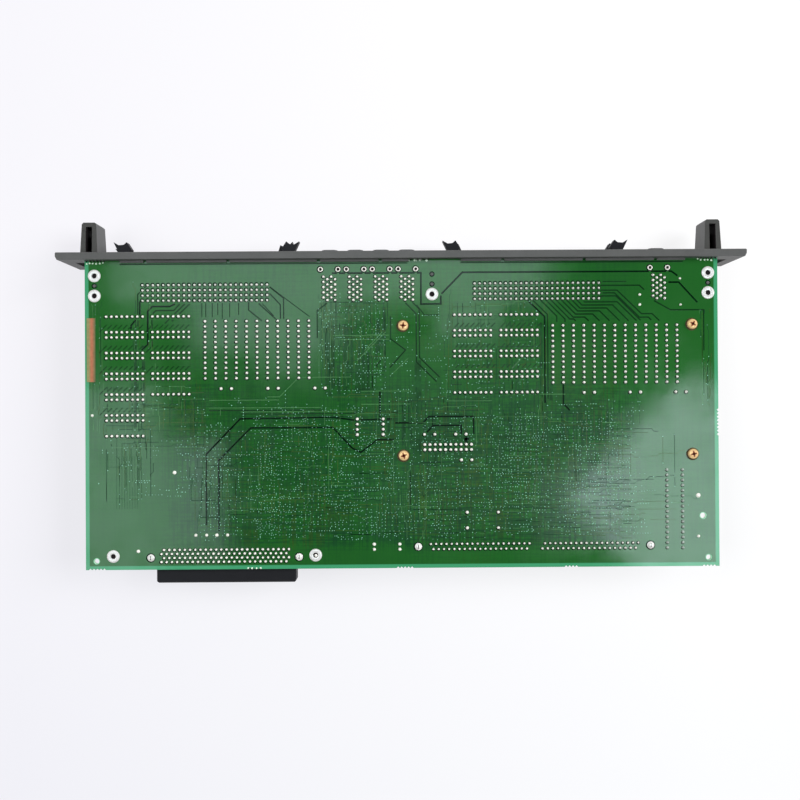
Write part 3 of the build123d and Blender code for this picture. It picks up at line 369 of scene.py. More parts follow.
def make(name, shape, finishes, node=None, slot="solder_mask", bevel=0.0, segments=2, smooth=30.0):
    """Makes a piece. Where it stands for a node, it takes the node's body, and the node's own form if no
    shape is given. The finishes are names with spaces between them."""
    mesh = bpy.data.meshes.new(name) if shape else cast(node)
    mesh.name = name
    if shape:
        mesh.from_pydata(shape.points, [], shape.faces)
    for finish in finishes.split():
        mesh.materials.append(finish_of(finish).owner)
    if shape:
        mesh.polygons.foreach_set("material_index", shape.slots)
    work = bmesh.new()
    work.from_mesh(mesh)
    bmesh.ops.recalc_face_normals(work, faces=work.faces)
    work.to_mesh(mesh)
    work.free()
    mesh.update()
    piece = bpy.data.objects.new(name, mesh)
    bpy.context.scene.collection.objects.link(piece)
    if bevel:
        rounding = piece.modifiers.new("rounded edges", "BEVEL")
        rounding.width = bevel * MM
        rounding.segments = segments
        rounding.limit_method = "ANGLE"
        rounding.angle_limit = math.radians(32)
    mesh.polygons.foreach_set("use_smooth", [True] * len(mesh.polygons))
    mesh.set_sharp_from_angle(angle=math.radians(smooth))
    if bevel:
        piece.modifiers.new("flat faces", "WEIGHTED_NORMAL").keep_sharp = True
    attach(piece, body_of(node) if node else "board")
    slot_of(node) if node else slot
    if node:
        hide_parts(node)
    return piece


def make_card(name, node, mask, axis):
    """Makes a circuit board: masked on both faces, and cut along its edges."""
    piece = make(name, None, f"{mask} edge", node)
    for face in piece.data.polygons:
        face.material_index = int(abs(face.normal[axis]) <= 0.5)
        face.use_smooth = False


# ---- settings --------------------------------------------------------------------

def colour(name, description, default):
    return FloatVectorProperty(name=name, description=description, default=default, size=3,
                               min=0.0, max=1.0, subtype="COLOR")


def length(name, description, default):
    return FloatProperty(name=name, description=description, default=default * MM, min=0.0,
                         subtype="DISTANCE", unit="LENGTH", precision=5)


def amount(name, description, default, high=10000.0):
    return FloatProperty(name=name, description=description, default=default, min=0.0, max=high)


class MaskSettings(PropertyGroup):
    """Circuit board: mask, rim, tracks and vias."""
    green: colour("Mask", "Solder mask over copper", (0.0120, 0.089, 0.0150))
    rim: colour("Rim", "Mask over bare laminate along the edges", (0.042, 0.255, 0.120))
    edge: colour("Cut edge", "Sawn edge of the laminate", (0.50, 0.66, 0.52))
    gap: colour("Gap", "Gaps between the copper areas", (0.0006, 0.0110, 0.0030))
    teal: colour("Inner copper", "Inner copper that shows through", (0.0065, 0.043, 0.0150))
    brown: colour("Inner gaps", "Inner laminate that shows through", (0.026, 0.068, 0.0120))
    track: colour("Track", "Raised tracks under the mask", (0.046, 0.155, 0.050))
    hole: colour("Via", "Masked via", (0.18, 0.42, 0.31))
    rim_width: length("Rim width", "Border without copper", 1.9)
    gloss: amount("Roughness", "Roughness of the mask", 0.12, 1.0)
    via_diameter: length("Via diameter", "Outside of a masked via", 0.43)
    seed: IntProperty(name="Seed", description="Order of the routed fields", default=11)


class MetalSettings(PropertyGroup):
    """Solder, rivets, screws and contacts."""
    solder: colour("Solder", "Bright tin-lead solder", (1.0, 1.0, 0.93))
    nickel: colour("Nickel", "Rivets and the oscillator's can", (0.86, 0.86, 0.85))
    brass: colour("Brass", "Screws and spacers", (0.92, 0.62, 0.30))
    copper: colour("Copper", "Bare strip", (0.43, 0.155, 0.080))
    gold: colour("Gold", "Contacts", (0.95, 0.68, 0.28))
    joint_radius: length("Joint radius", "Foot of a solder joint", 0.68)
    joint_sides: IntProperty(name="Joint sides", description="Sides of a solder joint", default=12, min=6)
    round_sides: IntProperty(name="Round sides", description="Sides of rivets and screws", default=48, min=12)


class PlasticSettings(PropertyGroup):
    """Moulded pieces and chips."""
    panel: colour("Panel", "Front panel and handles", (0.070, 0.071, 0.070))
    handle: colour("Handle faces", "Upper faces of the handles", (0.042, 0.042, 0.040))
    black: colour("Black", "Latches, headers and plugs", (0.010, 0.010, 0.012))
    epoxy: colour("Epoxy", "Chip packages", (0.020, 0.020, 0.022))
    coating: colour("Coating", "Coated ceramic modules", (0.42, 0.20, 0.10))
    resin: colour("Resin", "Film capacitors", (0.10, 0.22, 0.45))
    ivory: colour("Socket", "Memory card socket", (0.62, 0.58, 0.47))
    rounding: length("Rounding", "Edge radius of the front panel", 0.35)


class StageSettings(PropertyGroup):
    """Floor, lamps and camera."""
    floor: colour("Floor", "Paper under the object", (0.86, 0.86, 0.88))
    key: amount("Key", "Power of the main softbox", 4.2)
    fill: amount("Fill", "Power of the softbox opposite", 2.2)
    ambient: amount("Ambient", "Strength of the white room", 0.3)
    glow: amount("Paper glow", "Share of the paper's own white", 0.8, 1.0)
    sheen: amount("Sheen", "Power of the panels that gleam in the mask", 1.0)
    height: length("Camera height", "Camera above the solder side", 457.0)
    lens: amount("Lens", "Focal length in millimetres", 42.0)


def settings():
    return bpy.context.scene.control_board


# ---- finishes --------------------------------------------------------------------

def gleam(f):
    """Roughness that wanders a little, as handled surfaces show."""
    return f.span(f.noise(90, 3), 0.3, 0.7, -0.05, 0.05)


def mask_finish(s):
    """Glossy green mask, lighter along the bare rim, with the inner layers showing faintly."""
    f = material("solder mask", Specular_IOR_Level=0.5)
    x, y, _ = f.axes()
    half = (BOARD_HIGH - BOARD_LOW) / 2
    right = f.math("ABSOLUTE", x - BOARD_MIDDLE.x)
    down = BOARD_MIDDLE.y - y
    rim = f.math("MAXIMUM", right - (half.x - s.rim_width), down - (half.y - s.rim_width))
    clear = f.span(rim, -0.15 * MM, 0.25 * MM)
    plain = f.span(y - BOARD_MIDDLE.y, 2 * MM, 22 * MM)
    middle = f.span(right, 102 * MM, 120 * MM, 1.0, 0.2) * f.span(down, 62 * MM, 68 * MM, 1.0, 0.2)
    busy = f.span(f.noise(18, 2), 0.36, 0.56, 0.3, 1.0) * (1 - 0.72 * plain) * middle
    copper = f.blend(f.span(f.noise(14, 2), 0.3, 0.7), shade(s.green, 0.9), shade(s.green, 1.12))
    inner = f.blend(f.span(f.noise(24, 2), 0.48, 0.66), s.teal, s.brown)
    upright, level = (f.span(f.noise(1.0, 1, 0.4, stretch), 0.47, 0.56)
                      for stretch in ((1000, 40, 1), (44, 1050, 1)))
    lines = f.blend(upright * busy * 0.85, copper, inner)
    lines = f.blend(level * busy * 0.7, lines, shade(s.teal, 1.1))
    specks = f.span(f.noise(620, 2, 0.6), 0.42, 0.62) * busy
    lines = f.blend(specks * 0.45, lines, shade(s.teal, 0.8))
    f.set(Base_Color=f.blend(clear, lines, s.rim), Roughness=s.gloss + gleam(f))
    f.bump(f.noise(420, 3, 0.6) * 0.6 + f.noise(1900, 2) * 0.4, 0.22, 0.05)
    return f


def card_finish(s):
    """Mask of the smaller boards, without a rim."""
    f = material("card mask", Specular_IOR_Level=0.5)
    broad = f.span(f.noise(26, 2), 0.3, 0.7)
    f.set(Base_Color=f.blend(broad, shade(s.green, 0.85), shade(s.green, 1.25)), Roughness=s.gloss + gleam(f))
    f.bump(f.noise(900, 3, 0.6), 0.2, 0.05)
    return f


def line_finish(gloss, name, tone, spread, scale=46, shine=0.5):
    """Mask over a track or a gap, with the tone drifting from place to place."""
    f = material(name, Specular_IOR_Level=shine)
    drift = f.span(f.noise(scale, 2), 0.3, 0.7)
    f.set(Base_Color=f.blend(drift, shade(tone, 1 - spread), shade(tone, 1 + spread)),
          Roughness=gloss + 0.04 + gleam(f))
    return f


def metal_finish(name, tone, roughness, metallic, grain, depth, tarnish):
    """Handled metal that is duller and darker where it is worn."""
    f = material(name, Metallic=metallic)
    worn = f.span(f.noise(grain / 2, 3, 0.6), 0.35, 0.75)
    f.set(Base_Color=f.blend(worn, tone, shade(tone, 1 - tarnish)), Roughness=roughness + 0.15 * worn)
    f.bump(f.noise(grain * 4, 3), depth, 0.03)
    return f


def strip_finish(tone):
    """Bare copper that is tarnished along its outer half."""
    f = material("bare copper", Metallic=0.2, Specular_IOR_Level=0.3)
    x, *_ = f.axes()
    low, high = (corner[0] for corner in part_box("copper_strip"))
    wander = f.noise(260, 3) * 0.6 * MM
    base = f.blend(f.span(x + wander, low + 1.2 * MM, low + 2.5 * MM), (0.26, 0.25, 0.105), tone)
    base = f.blend(f.span(x + wander, high - 1.3 * MM, high + 0.1 * MM), base, (0.12, 0.14, 0.06))
    spots = f.add("ShaderNodeValToRGB", {"stops": ((0.3, (0.8, 0.8, 0.8)), (0.7, (1.0, 1.0, 1.0)))},
                  {0: f.noise(700, 3)})
    f.set(Base_Color=f.blend(1.0, base, spots, "MULTIPLY"),
          Roughness=f.span(f.noise(300, 2), 0.3, 0.7, 0.4, 0.6))
    f.bump(f.noise(1400, 3), 0.3, 0.03)
    return f


def plastic_finish(name, tone, roughness, grain=2600, depth=0.3, shine=0.45):
    """Moulded plastic with a fine spark-eroded grain and dusty variation."""
    f = material(name, Specular_IOR_Level=shine)
    dust = f.span(f.noise(60, 4, 0.6), 0.35, 0.7)
    speck = f.span(f.noise(grain, 2), 0.25, 0.75)
    base = f.blend(dust, shade(tone, 0.9), shade(tone, 1.12))
    f.set(Base_Color=f.blend(speck * 0.35, base, shade(tone, 1.45)),
          Roughness=f.span(speck, 0, 1, roughness - 0.06, roughness + 0.08))
    f.bump(f.noise(grain, 2), depth, 0.05)
    return f


def laminate_finish(tone):
    """Cut laminate: pale glass cloth in layers."""
    f = material("cut laminate", Roughness=0.7, Specular_IOR_Level=0.3)
    layers = f.noise(1.0, 2, stretch=(400, 400, 5200))
    f.set(Base_Color=f.blend(f.span(layers, 0.35, 0.65), shade(tone, 0.7), shade(tone, 1.2)))
    f.bump(layers, 0.5, 0.08)
    return f


def all_finishes():
    mask, metal, plastic = settings().mask, settings().metal, settings().plastic
    made = {"mask": mask_finish(mask), "card": card_finish(mask), "edge": laminate_finish(mask.edge),
            "copper": strip_finish(metal.copper)}
    for key, *look in (
            ("gap", "dark gap", mask.gap, 0.45, 46, 0.28),
            ("track", "raised track", mask.track, 0.25),
            ("fine", "fine gap", (0.006, 0.040, 0.014), 0.4, 46, 0.33),
            ("route", "open gap", (0.003, 0.022, 0.006), 0.3, 46, 0.24),
            ("band", "close tracks", (0.008, 0.052, 0.013), 0.3, 220, 0.4),
            ("brown", "inner gap", mask.brown, 0.3, 46, 0.4),
            ("via", "masked via", mask.hole, 0.8, 520),
            ("rimmed", "hole rim", (0.20, 0.50, 0.30), 0.1),
            ("outline", "white outline", (0.72, 0.74, 0.68), 0.08)):
        made[key] = line_finish(mask.gloss, *look)
    for key, *look in (
            ("solder", "bright solder", metal.solder, 0.3, 0.15, 900, 0.2, 0.06),
            ("dull_solder", "dull solder", (0.52, 0.60, 0.55), 0.3, 0.3, 900, 0.2, 0.3),
            ("nickel", "nickel plate", metal.nickel, 0.3, 0.45, 700, 0.1, 0.1),
            ("lock", "lock metal", (1.0, 1.0, 0.97), 0.25, 0.4, 700, 0.1, 0.2),
            ("brass", "brass", metal.brass, 0.28, 0.35, 600, 0.12, 0.25),
            ("gold", "gold plate", metal.gold, 0.25, 1.0, 900, 0.08, 0.12),
            ("tin", "tin plate", (0.86, 0.90, 0.84), 0.32, 0.15, 900, 0.1, 0.12),
            ("shell", "port shell", (0.13, 0.13, 0.135), 0.42, 0.4, 900, 0.1, 0.15)):
        made[key] = metal_finish(*look)
    for key, *look in (
            ("recess", "screw recess", (0.16, 0.035, 0.012), 0.5),
            ("ring", "shaded ring", (0.035, 0.022, 0.006), 0.6),
            ("bore", "shaded bore", (0.012, 0.010, 0.011), 0.7, 2600, 0.1, 0.1),
            ("panel", "panel plastic", plastic.panel, 0.5, 2400, 0.35),
            ("handle", "handle face", plastic.handle, 0.5, 2400, 0.35),
            ("black", "black plastic", plastic.black, 0.5, 3000, 0.2, 0.2),
            ("epoxy", "chip epoxy", plastic.epoxy, 0.55, 3800),
            ("coating", "module coating", plastic.coating, 0.3, 1500, 0.15),
            ("resin", "capacitor resin", plastic.resin, 0.3, 1100, 0.15),
            ("ceramic", "ceramic body", (0.36, 0.27, 0.18), 0.5, 2500, 0.1),
            ("ivory", "socket plastic", plastic.ivory, 0.45, 2200, 0.15)):
        made[key] = plastic_finish(*look)
    return made


STORE = {}


def finish_of(key):
    """A finish by its short name. All are made when the first is used."""
    if not STORE:
        STORE.update(all_finishes())
    return STORE[key]


# ---- layout of the routed side ---------------------------------------------------

# Clear dark gaps round the guarded areas, in millimetres from the board's middle.
GUARD_LINES = (
    ((-96.1, -54), (-96.1, -19.4), (-79.3, -2.1), (-34.1, -1.6), (-23.6, -3.1), (-5.2, -2.6)),
    ((-90, -57), (-90, -22.4), (-74.2, -6.6), (-34.1, -6.6), (-24.6, -16.8), (-20.4, -18.9),
     (-12.4, -12.8), (-4.2, -12.8)),
    ((-10.9, 11), (-10.9, -1.7)),
    ((-3.5, -4.6), (10.1, -4.6), (13, -1.6), (34.9, -1.6), (34.9, -10.2)),
    ((10.1, -11.2), (15.1, -6), (28.8, -6), (28.8, -10.2)),
    ((61.8, 55.1), (70, 47), (70, 4.7)), ((79, 14.6), (79, 4.2), (82.1, 1)),
    ((-34.1, 68.9), (9.5, 68.9), (9.5, 53.6), (19.2, 53.6), (19.2, 58.2), (29.8, 69), (132.4, 69),
     (135.4, 66.8)),
    ((130.9, 63.6), (136, 63.6), (145.1, 53.6)),
    ((-111, 54.3), (-113.5, 53.1), (-122, 53.1), (-124.3, 50.7), (-124.3, 34.5), (-128.1, 31.1),
     (-132.5, 30.1)),
    ((-128.1, 55.6), (-128.1, 48.8), (-132.4, 43.9), (-132.4, 41.4)),
)
# Clear gaps between neighbouring tracks, and the shade of the panel's shelves.
ROUTES = (
    # The first two are painted shadow lines along the panel's shelves.
    ((-137.9, 73.75), (3, 73.75)), ((28.9, 73.75), (138.1, 73.75)),
    ((64.3, 55.1), (71.5, 48), (71.5, 6.7)), ((68.2, 55.1), (76, 47.2), (76, 44.3)),
    ((70.8, 55.1), (80, 45.8), (80, 44.3)), ((73.3, 55.1), (82.4, 45.8), (84.3, 45.8), (85.3, 44.8)),
    ((75.8, 55.1), (84.1, 46.7), (89.7, 46.7), (91.7, 44.8)),
    ((78.4, 55.1), (85.2, 48.2), (93.6, 48.2), (97, 44.8)),
    ((80.9, 55.1), (86.3, 49.7), (97, 49.7), (101.9, 44.8)),
    ((83.5, 55.1), (87.4, 51.1), (100.5, 51.1), (106.8, 44.8)),
    ((86, 55.1), (88.4, 52.6), (103.4, 52.6), (111.2, 44.8)),
    ((88.5, 55.3), (89.7, 54.1), (105.7, 54.1), (115.1, 44.8)),
    ((97.5, 57), (105.1, 57), (117.1, 45)),
    ((97.5, 58.5), (104.4, 58.5), (116.6, 46.5), (121, 46.5), (122.4, 45)),
    ((97.5, 59.8), (105.7, 59.8), (117.6, 48.2), (122.8, 48.2), (126.3, 44.8)),
    ((97.5, 62.2), (116.6, 62.2), (119, 60)),
    ((123.8, 54.6), (131.9, 50), (148.1, 50), (148.1, 30)),
    ((-108.6, 54.3), (-111.5, 51.1), (-120.3, 51.1), (-122.2, 49.2), (-122.2, 33.5)),
    ((-106.1, 54.3), (-115.9, 44.8)), ((-103.7, 54.3), (-112.5, 45.8)),
    ((-125.2, 62.9), (-129.1, 59), (-129.1, 43.3)),
    ((-64.6, 62.4), (-57.8, 56.8), (-57.8, 46.7)), ((-64.6, 59.2), (-59.4, 53.6), (-59.4, 46.7)),
    ((-74.9, 55.1), (-74.9, 51.1), (-68.5, 45.8)), ((-70, 54.3), (-61.7, 46.7)),
    ((4.2, 55.6), (8.6, 51.2), (8.6, 27.4), (18.4, 17.7)),
    ((1.8, 54.3), (7.1, 48.8), (7.1, 25.2), (16.9, 15.5)),
    ((-5.5, 47.7), (-5.5, 36.6), (1.8, 31.1), (-6, 22.5)),
    ((-36.5, 54.3), (-41.4, 50.7), (-41.4, 37.2)), ((-14.6, 28.2), (-14.6, 12.5)),
    ((-10.4, 26.2), (-12.8, 23.3)),
)
# Broad faint bands where tracks run close together.
BANDS = (
    ((-35.2, 44.8), (-35.2, 8.6)), ((-26.5, 42.8), (-26.5, 12.5)), ((-20.8, 36), (-20.8, 8.6)),
    ((-37, 42.8), (-37, 9.6)), ((-33.6, 43.3), (-33.6, 12.3)), ((-28.2, 43.8), (-28.2, 11.5)),
    ((-18.9, 34), (-18.9, 10.6)), ((-24.5, 42), (-24.5, 14)), ((-16.6, 30), (-16.6, 8)),
    ((-11.6, 46), (-11.6, 30)), ((-8.6, 52), (-8.6, 22)), ((6.9, 26), (6.9, -24)),
    ((8.6, 26), (8.6, -24)), ((20, -11.8), (80, -11.8)),
    ((-31, 24), (-31, 6)), ((-22.4, 24), (-22.4, 6)), ((73, 42), (73, 6)),
    ((68.2, 44), (68.2, 8)), ((-130.4, 42), (-130.4, -6)), ((-126.4, 34), (-126.4, -2)),
)
# Fainter single lines.
THIN_ROUTES = (
    ((97.5, 64.1), (110.2, 64.1)), ((-64.6, 62.4), (-45.1, 47.7)), ((-68.3, 54.3), (-62.7, 48.2)),
    ((-97.8, 54.6), (-97.8, 47.7)), ((-95.9, 54.6), (-95.9, 47.7)), ((-92.7, 54.6), (-92.7, 47.7)),
    ((-90, 54.6), (-90, 48.7)), ((-87.8, 54.6), (-87.8, 46.7)), ((-84.2, 54.6), (-84.2, 47.7)),
    ((-79.8, 54.6), (-79.8, 48.7)), ((7.4, 53.1), (11.1, 48.2), (18.4, 48.2)),
    ((-94.5, 2), (-40, 2)), ((-79, 0.2), (-22, 0.2)),
)
# Lighter tracks that stand out from the copper.
LIGHT_ROUTES = (
    ((-94.5, 7), (-60.4, 7)), ((-94.5, 3.2), (-40, 3.2)), ((-79, 1.2), (-24, 1.2)),
    ((-66, 8.5), (-60, 8.5), (-50.5, 18), (-25, 18)), ((-33.8, 38.4), (-6.5, 38.4)),
    ((-30, 36.4), (-6.5, 36.4)), ((-20, 11), (4, 11)), ((-20, 4.6), (4, 4.6)),
    ((-89, 3.4), (-89, -0.6)), ((-63.8, 3.4), (-63.8, -0.6)), ((-18.2, 31), (-9.6, 40)),
    ((-22, 26), (-8, 40)), ((-5.8, 18.4), (3, 27)), ((21.5, 6), (44, 6)),
    ((52, 9), (80, 9)), ((98, -5), (112, -5)), ((60, 28), (52, 20)),
)
# Dark stain above the pin header.
STAINS = (((31, -10.8), (31.3, -14.2)), ((30.2, -12.9), (32.5, -12.3)))
# Fields of routed lines: left, right, low, high, lines along x, lines along y, and how clear they are.
FIELDS = (
    (-41, -8, 8, 55, 18, 61, 0.7),
    (-133, -122, -42, 56, 0, 22, 0.8),
    (-152, -146, -12, 54, 0, 9, 0.6),
    (-150, -97, -16, 14, 18, 18, 0.5),
    (-146, -128, -44, -14, 3, 9, 0.5),
    (-104, -62, -58, -8, 36, 47, 0.6),
    (-72, -2, -60, 2, 79, 54, 0.7),
    (-6, 40, -62, 8, 54, 54, 0.7),
    (20, 66, 4, 54, 22, 40, 0.6),
    (38, 112, -60, 0, 83, 61, 0.6),
    (64, 72, -10, 50, 0, 13, 0.8),
    (144.5, 151, 2, 50, 0, 9, 0.6),
    (110, 140, -60, 2, 5, 2, 0.5),
    (2, 12, -66, 6, 4, 16, 0.8),
)
# Scatter of vias: left, right, low, high, how many.
VIA_FIELDS = (
    (-41, -8, 8, 52, 335), (-6, 22, 6, 50, 156), (-74, -2, -62, -8, 1428),
    (-100, -62, -62, -18, 424), (-62, -10, -8, 4, 134), (0, 64, -50, 0, 804),
    (44, 112, -38, -2, 736), (50, 118, -60, -36, 424), (-110, -86, -36, 2, 134),
    (-150, -104, -40, -12, 89), (-2, 50, -62, -44, 179), (66, 122, 0, 6, 52),
    (22, 66, 8, 44, 134), (-86, -50, -6, 8, 52),
)
# Panels that gleam in the mask: left and right, low and high from the board's middle, turn and radiance.
GLEAMS = (
    ("gleam_band", (-285, 148), (109, 200), 0, 2.65),
    ("gleam_upper_left", (-205, -58), (60, 109), 0, 2.5),
    ("gleam_tongue", (-140, -85), (35, 60), 0, 1.8),
    ("gleam_upper_middle", (38, 104), (72, 109), 0, 2.2),
    ("gleam_left", (-330, -240), (-170, 24), 0, 2.7),
    ("gleam_left_low", (-240, -175), (-150, -30), 0, 2.35),
    ("gleam_right", (200, 370), (-176, -6), 45, 5.8),
    ("gleam_right_corner", (306, 326), (-26, 37), 45, 5.6),
    ("gleam_right_side", (140, 230), (-140, -60), 0, 1.2),
    ("gleam_haze", (-30, 200), (-125, 70), 0, 0.35),
)
# Crumbs of laminate where the board was broken out of its frame.
BITES = (
    (-154, 74.1), (-152.6, 74.4), (-151.1, 74.3), (-149.4, 74.2), (-147.6, 74.3), (-146, 74.6),
    (3.8, 75), (6.4, 75), (7.2, 74.9), (9, 75), (12.3, 74.9),
    (-75.8, -75.1), (-73.9, -75.2), (-71.7, -75.2), (-69.7, -75.1),
    (145.4, 75), (146.9, 74.5), (148.8, 74.5), (150.3, 74.5), (152.1, 74.3),
)
# Pegs of the panel's brackets, which stand in the board.
PEGS = ((-150.3, 63.3), (150.3, 63.3), (14.9, 63.3), (14.9, 68.2))
# Joints of parts on the hidden side that have no node of their own: place and radius.
LONE_JOINTS = (
    (116.8, 57.6, 0.7), (116.8, 52.7, 0.7), (136.6, 65.4, 0.6), (136.8, 52.6, 0.6),
    (-101.3, -58.9, 0.8), (-96, -58.9, 0.8), (-91.05, -58.9, 0.8), (-85.8, -58.9, 0.8),
    (-14.1, -63.9, 0.8), (-14.1, -66.4, 0.8), (-1.6, -63.9, 0.8), (-1.6, -66.4, 0.8),
    (-111.55, -28.2, 0.9), (-129.4, -66.6, 0.9), (-151.6, -0.1, 0.7),
    (144.8, -41, 1.1), (144.8, -61, 0.8), (-42.6, -69.2, 0.75),
)
# Rows of slanting gaps between the chips' joints: left end and how many rows.
SLANTS = ((-148, 5), (-125.4, 3), (24.4, 3), (47, 3))
HANDLE_MIDDLE = 13.4    # From the panel's end.


# ---- routing ---------------------------------------------------------------------

CELL = 0.5              # Step of the map of taken places.
TRACK_GRID = 0.635
VIA_GRID = 0.3175
PIN_PITCH = 2.54
TRACK_LIFTS = {"gap": 0.012, "track": 0.02, "fine": 0.01, "brown": 0.006, "route": 0.014, "band": 0.004}


class Routing:
    """Lines and vias of one face of a board, kept clear of the solder and the fasteners."""

    def __init__(self, seed, sites):
        self.chance = random.Random(seed)
        self.lines = []
        self.vias = []
        self.taken = set()
        for site in sites:
            self.block(*site)

    def block(self, x, y, radius):
        reach = math.ceil(radius / CELL)
        column, row = round(x / CELL), round(y / CELL)
        for i in range(-reach, reach + 1):
            for j in range(-reach, reach + 1):
                if math.hypot(i, j) * CELL <= radius + 0.2:
                    self.taken.add((column + i, row + j))

    def free(self, x, y):
        return (round(x / CELL), round(y / CELL)) not in self.taken

    def keep(self, piece, width, kind):
        if len(piece) > 1:
            self.lines.append((piece, width, kind))

    def run(self, path, width, kind):
        """Adds a path, cut where it would cross a joint or a fastener."""
        piece = [path[0]]
        for a, b in zip(path, path[1:]):
            steps = max(1, int(math.hypot(b[0] - a[0], b[1] - a[1]) / CELL))
            last = a
            for k in range(1, steps + 1):
                spot = (a[0] + (b[0] - a[0]) * k / steps, a[1] + (b[1] - a[1]) * k / steps)
                if not self.free(*spot):
                    if piece and math.dist(last, piece[-1]) > 0.3:
                        piece.append(last)
                    self.keep(piece, width, kind)
                    piece = []
                elif not piece:
                    piece = [spot]
                elif k == steps:
                    piece.append(spot)
                last = spot
        self.keep(piece, width, kind)

    def field(self, x0, x1, y0, y1, along, across, clear):
        """Rows of jogged lines in both directions."""
        rnd = self.chance
        for count, upright in ((along, False), (across, True)):
            low, high, start, end = (x0, x1, y0, y1) if upright else (y0, y1, x0, x1)
            for _ in range(2 * count):
                lane = round(rnd.uniform(low, high) / TRACK_GRID) * TRACK_GRID
                a = rnd.uniform(start, end)
                b = min(end, a + rnd.uniform(3, 26))
                path = [(a, lane)]
                while rnd.random() < 0.55 and path[-1][0] < b - 6:
                    jog = rnd.choice((-2, -1, 1, 2)) * TRACK_GRID
                    turn = path[-1][0] + rnd.uniform(2, 14)
                    path += [(turn, path[-1][1]), (turn + abs(jog), path[-1][1] + jog)]
                path.append((max(b, path[-1][0] + 2), path[-1][1]))
                if upright:
                    path = [(v, u) for u, v in path]
                if rnd.random() < clear:
                    kind, width = rnd.choice((("fine", 0.22), ("fine", 0.32), ("brown", 0.3)))
                else:
                    kind, width = rnd.choice((("track", 0.17), ("brown", 0.26), ("fine", 0.18)))
                self.run(path, width, kind)
                if rnd.random() < 0.3:
                    self.via(*path[0])
                    self.via(*path[-1])

    def via(self, x, y):
        x, y = round(x / VIA_GRID) * VIA_GRID, round(y / VIA_GRID) * VIA_GRID
        if self.free(x, y) and abs(x) < 150.5 and -71 < y < 69:
            self.vias.append((x, y))
            self.block(x, y, 0.6)

    def scatter(self, x0, x1, y0, y1, count):
        """Short rows and stray vias on the routing grid."""
        rnd = self.chance
        placed = 0
        while placed < count:
            x, y = rnd.uniform(x0, x1), rnd.uniform(y0, y1)
            row = rnd.choice((1, 1, 1, 1, 2, 2, 3, 6))
            step = rnd.choice((1.27, 1.27, 1.5875, 1.905, 2.54))
            upright = rnd.random() < 0.3
            for k in range(row):
                self.via(*((x, y + k * step) if upright else (x + k * step, y)))
            placed += row


def sites_of(face):
    """Everything that pierces or stands on one face, as layout place and radius."""
    sites = []
    for node, radius in (("solder_left", 1.15), ("solder_right", 1.15), ("solder_ports", 1.0),
                         ("solder_plug", 1.0), ("solder_socket", 1.0), ("solder_small_parts", 1.2),
                         ("header_pins_left", 1.05), ("header_pins_right", 1.05), ("rivets", 3.9),
                         ("screws", 4.4), ("board_locks", 2.2), ("port_posts", 1.8)):
        sites += [(*layout(x, y), radius) for x, y, _ in tips(node)]
    if face > 0:
        sites += [(x, y, radius + 0.4) for x, y, radius in LONE_JOINTS]
    return sites


# ---- operators: the board --------------------------------------------------------

class CONTROLBOARD_OT_board(Operator):
    """Circuit board with its mask, bare rim and cut edges"""
    bl_idname = "control_board.board"
    bl_label = "Circuit board"

    def execute(self, context):
        make_card("laminate", "main_board", "mask", 2)
        rims = Shape()
        for mount in frame["record"]["mounts"]:
            if mount["kind"] == "bore":
                x, y, _ = (c / MM for c in mount["pos_m"])
                r = mount["dims"]["r_mm"]
                for level, lift in ((SOLDER_FACE, 0.02), (PART_FACE, -0.02)):
                    rims.lathe((x, y, level), ((r, 0), (r + 0.08, lift), (r + 0.22, lift), (r + 0.3, 0)), 36)
        make("hole_rims", rims, "rimmed")
        crumbs = Shape()
        rnd = random.Random(3)
        for x, y in BITES:
            r = rnd.uniform(0.38, 0.55)
            crumbs.lathe((*on_board(x, y), SOLDER_FACE), ((r, 0), (r * 0.8, 0.05), (0, 0.04)), 7)
        make("broken_tabs", crumbs, "edge", slot=slot_of("main_board"))
        return {"FINISHED"}


class CONTROLBOARD_OT_tracks(Operator):
    """Tracks, dark gaps and vias on both faces of the board"""
    bl_idname = "control_board.tracks"
    bl_label = "Tracks and vias"

    def execute(self, context):
        s = settings().mask
        near = Routing(s.seed, sites_of(1))
        for paths, width, kind in ((GUARD_LINES, 0.85, "gap"), (ROUTES, 0.62, "route"), (BANDS, 1.6, "band"),
                                   (THIN_ROUTES, 0.45, "route"), (LIGHT_ROUTES, 0.3, "track"),
                                   (STAINS, 1.6, "gap")):
            for path in paths:
                near.run(path, width, kind)
        for x0, rows in SLANTS:
            for row in range(rows):
                y = 45.4 - 10.16 * row
                for k in range(8):
                    x = x0 + PIN_PITCH * k
                    near.run([(x, y - 4.8), (x + 3.6, y - 1.2)], 0.42, "route")
        for k in range(9):
            x = -139.8 + 1.27 * k
            near.run([(x, -20), (x, -46)], 0.16, "fine")
        for field in FIELDS:
            near.field(*field)
        for field in VIA_FIELDS:
            near.scatter(*field)
        self.lay("near", near, SOLDER_FACE, 1)
        far = Routing(s.seed + 1, sites_of(-1))
        for *area, along, across, _ in FIELDS:
            far.field(*area, along // 2, across // 2, 0.25)
        far.vias = near.vias
        self.lay("far", far, PART_FACE, -1)
        return {"FINISHED"}

    def lay(self, name, routing, level, side):
        shape = Shape()
        kinds = list(TRACK_LIFTS)
        for path, width, kind in routing.lines:
            points = [on_board(*place) for place in path]
            shape.ribbon(points, width, level, side * TRACK_LIFTS[kind], kinds.index(kind))
        make(f"tracks_{name}", shape, " ".join(kinds))
        dots = Shape()
        r = settings().mask.via_diameter / 2 / MM
        for place in routing.vias:
            dots.lathe((*on_board(*place), level), ((r, 0), (r * 0.8, side * 0.05), (0, side * 0.03)), 6)
        make(f"vias_{name}", dots, "via")


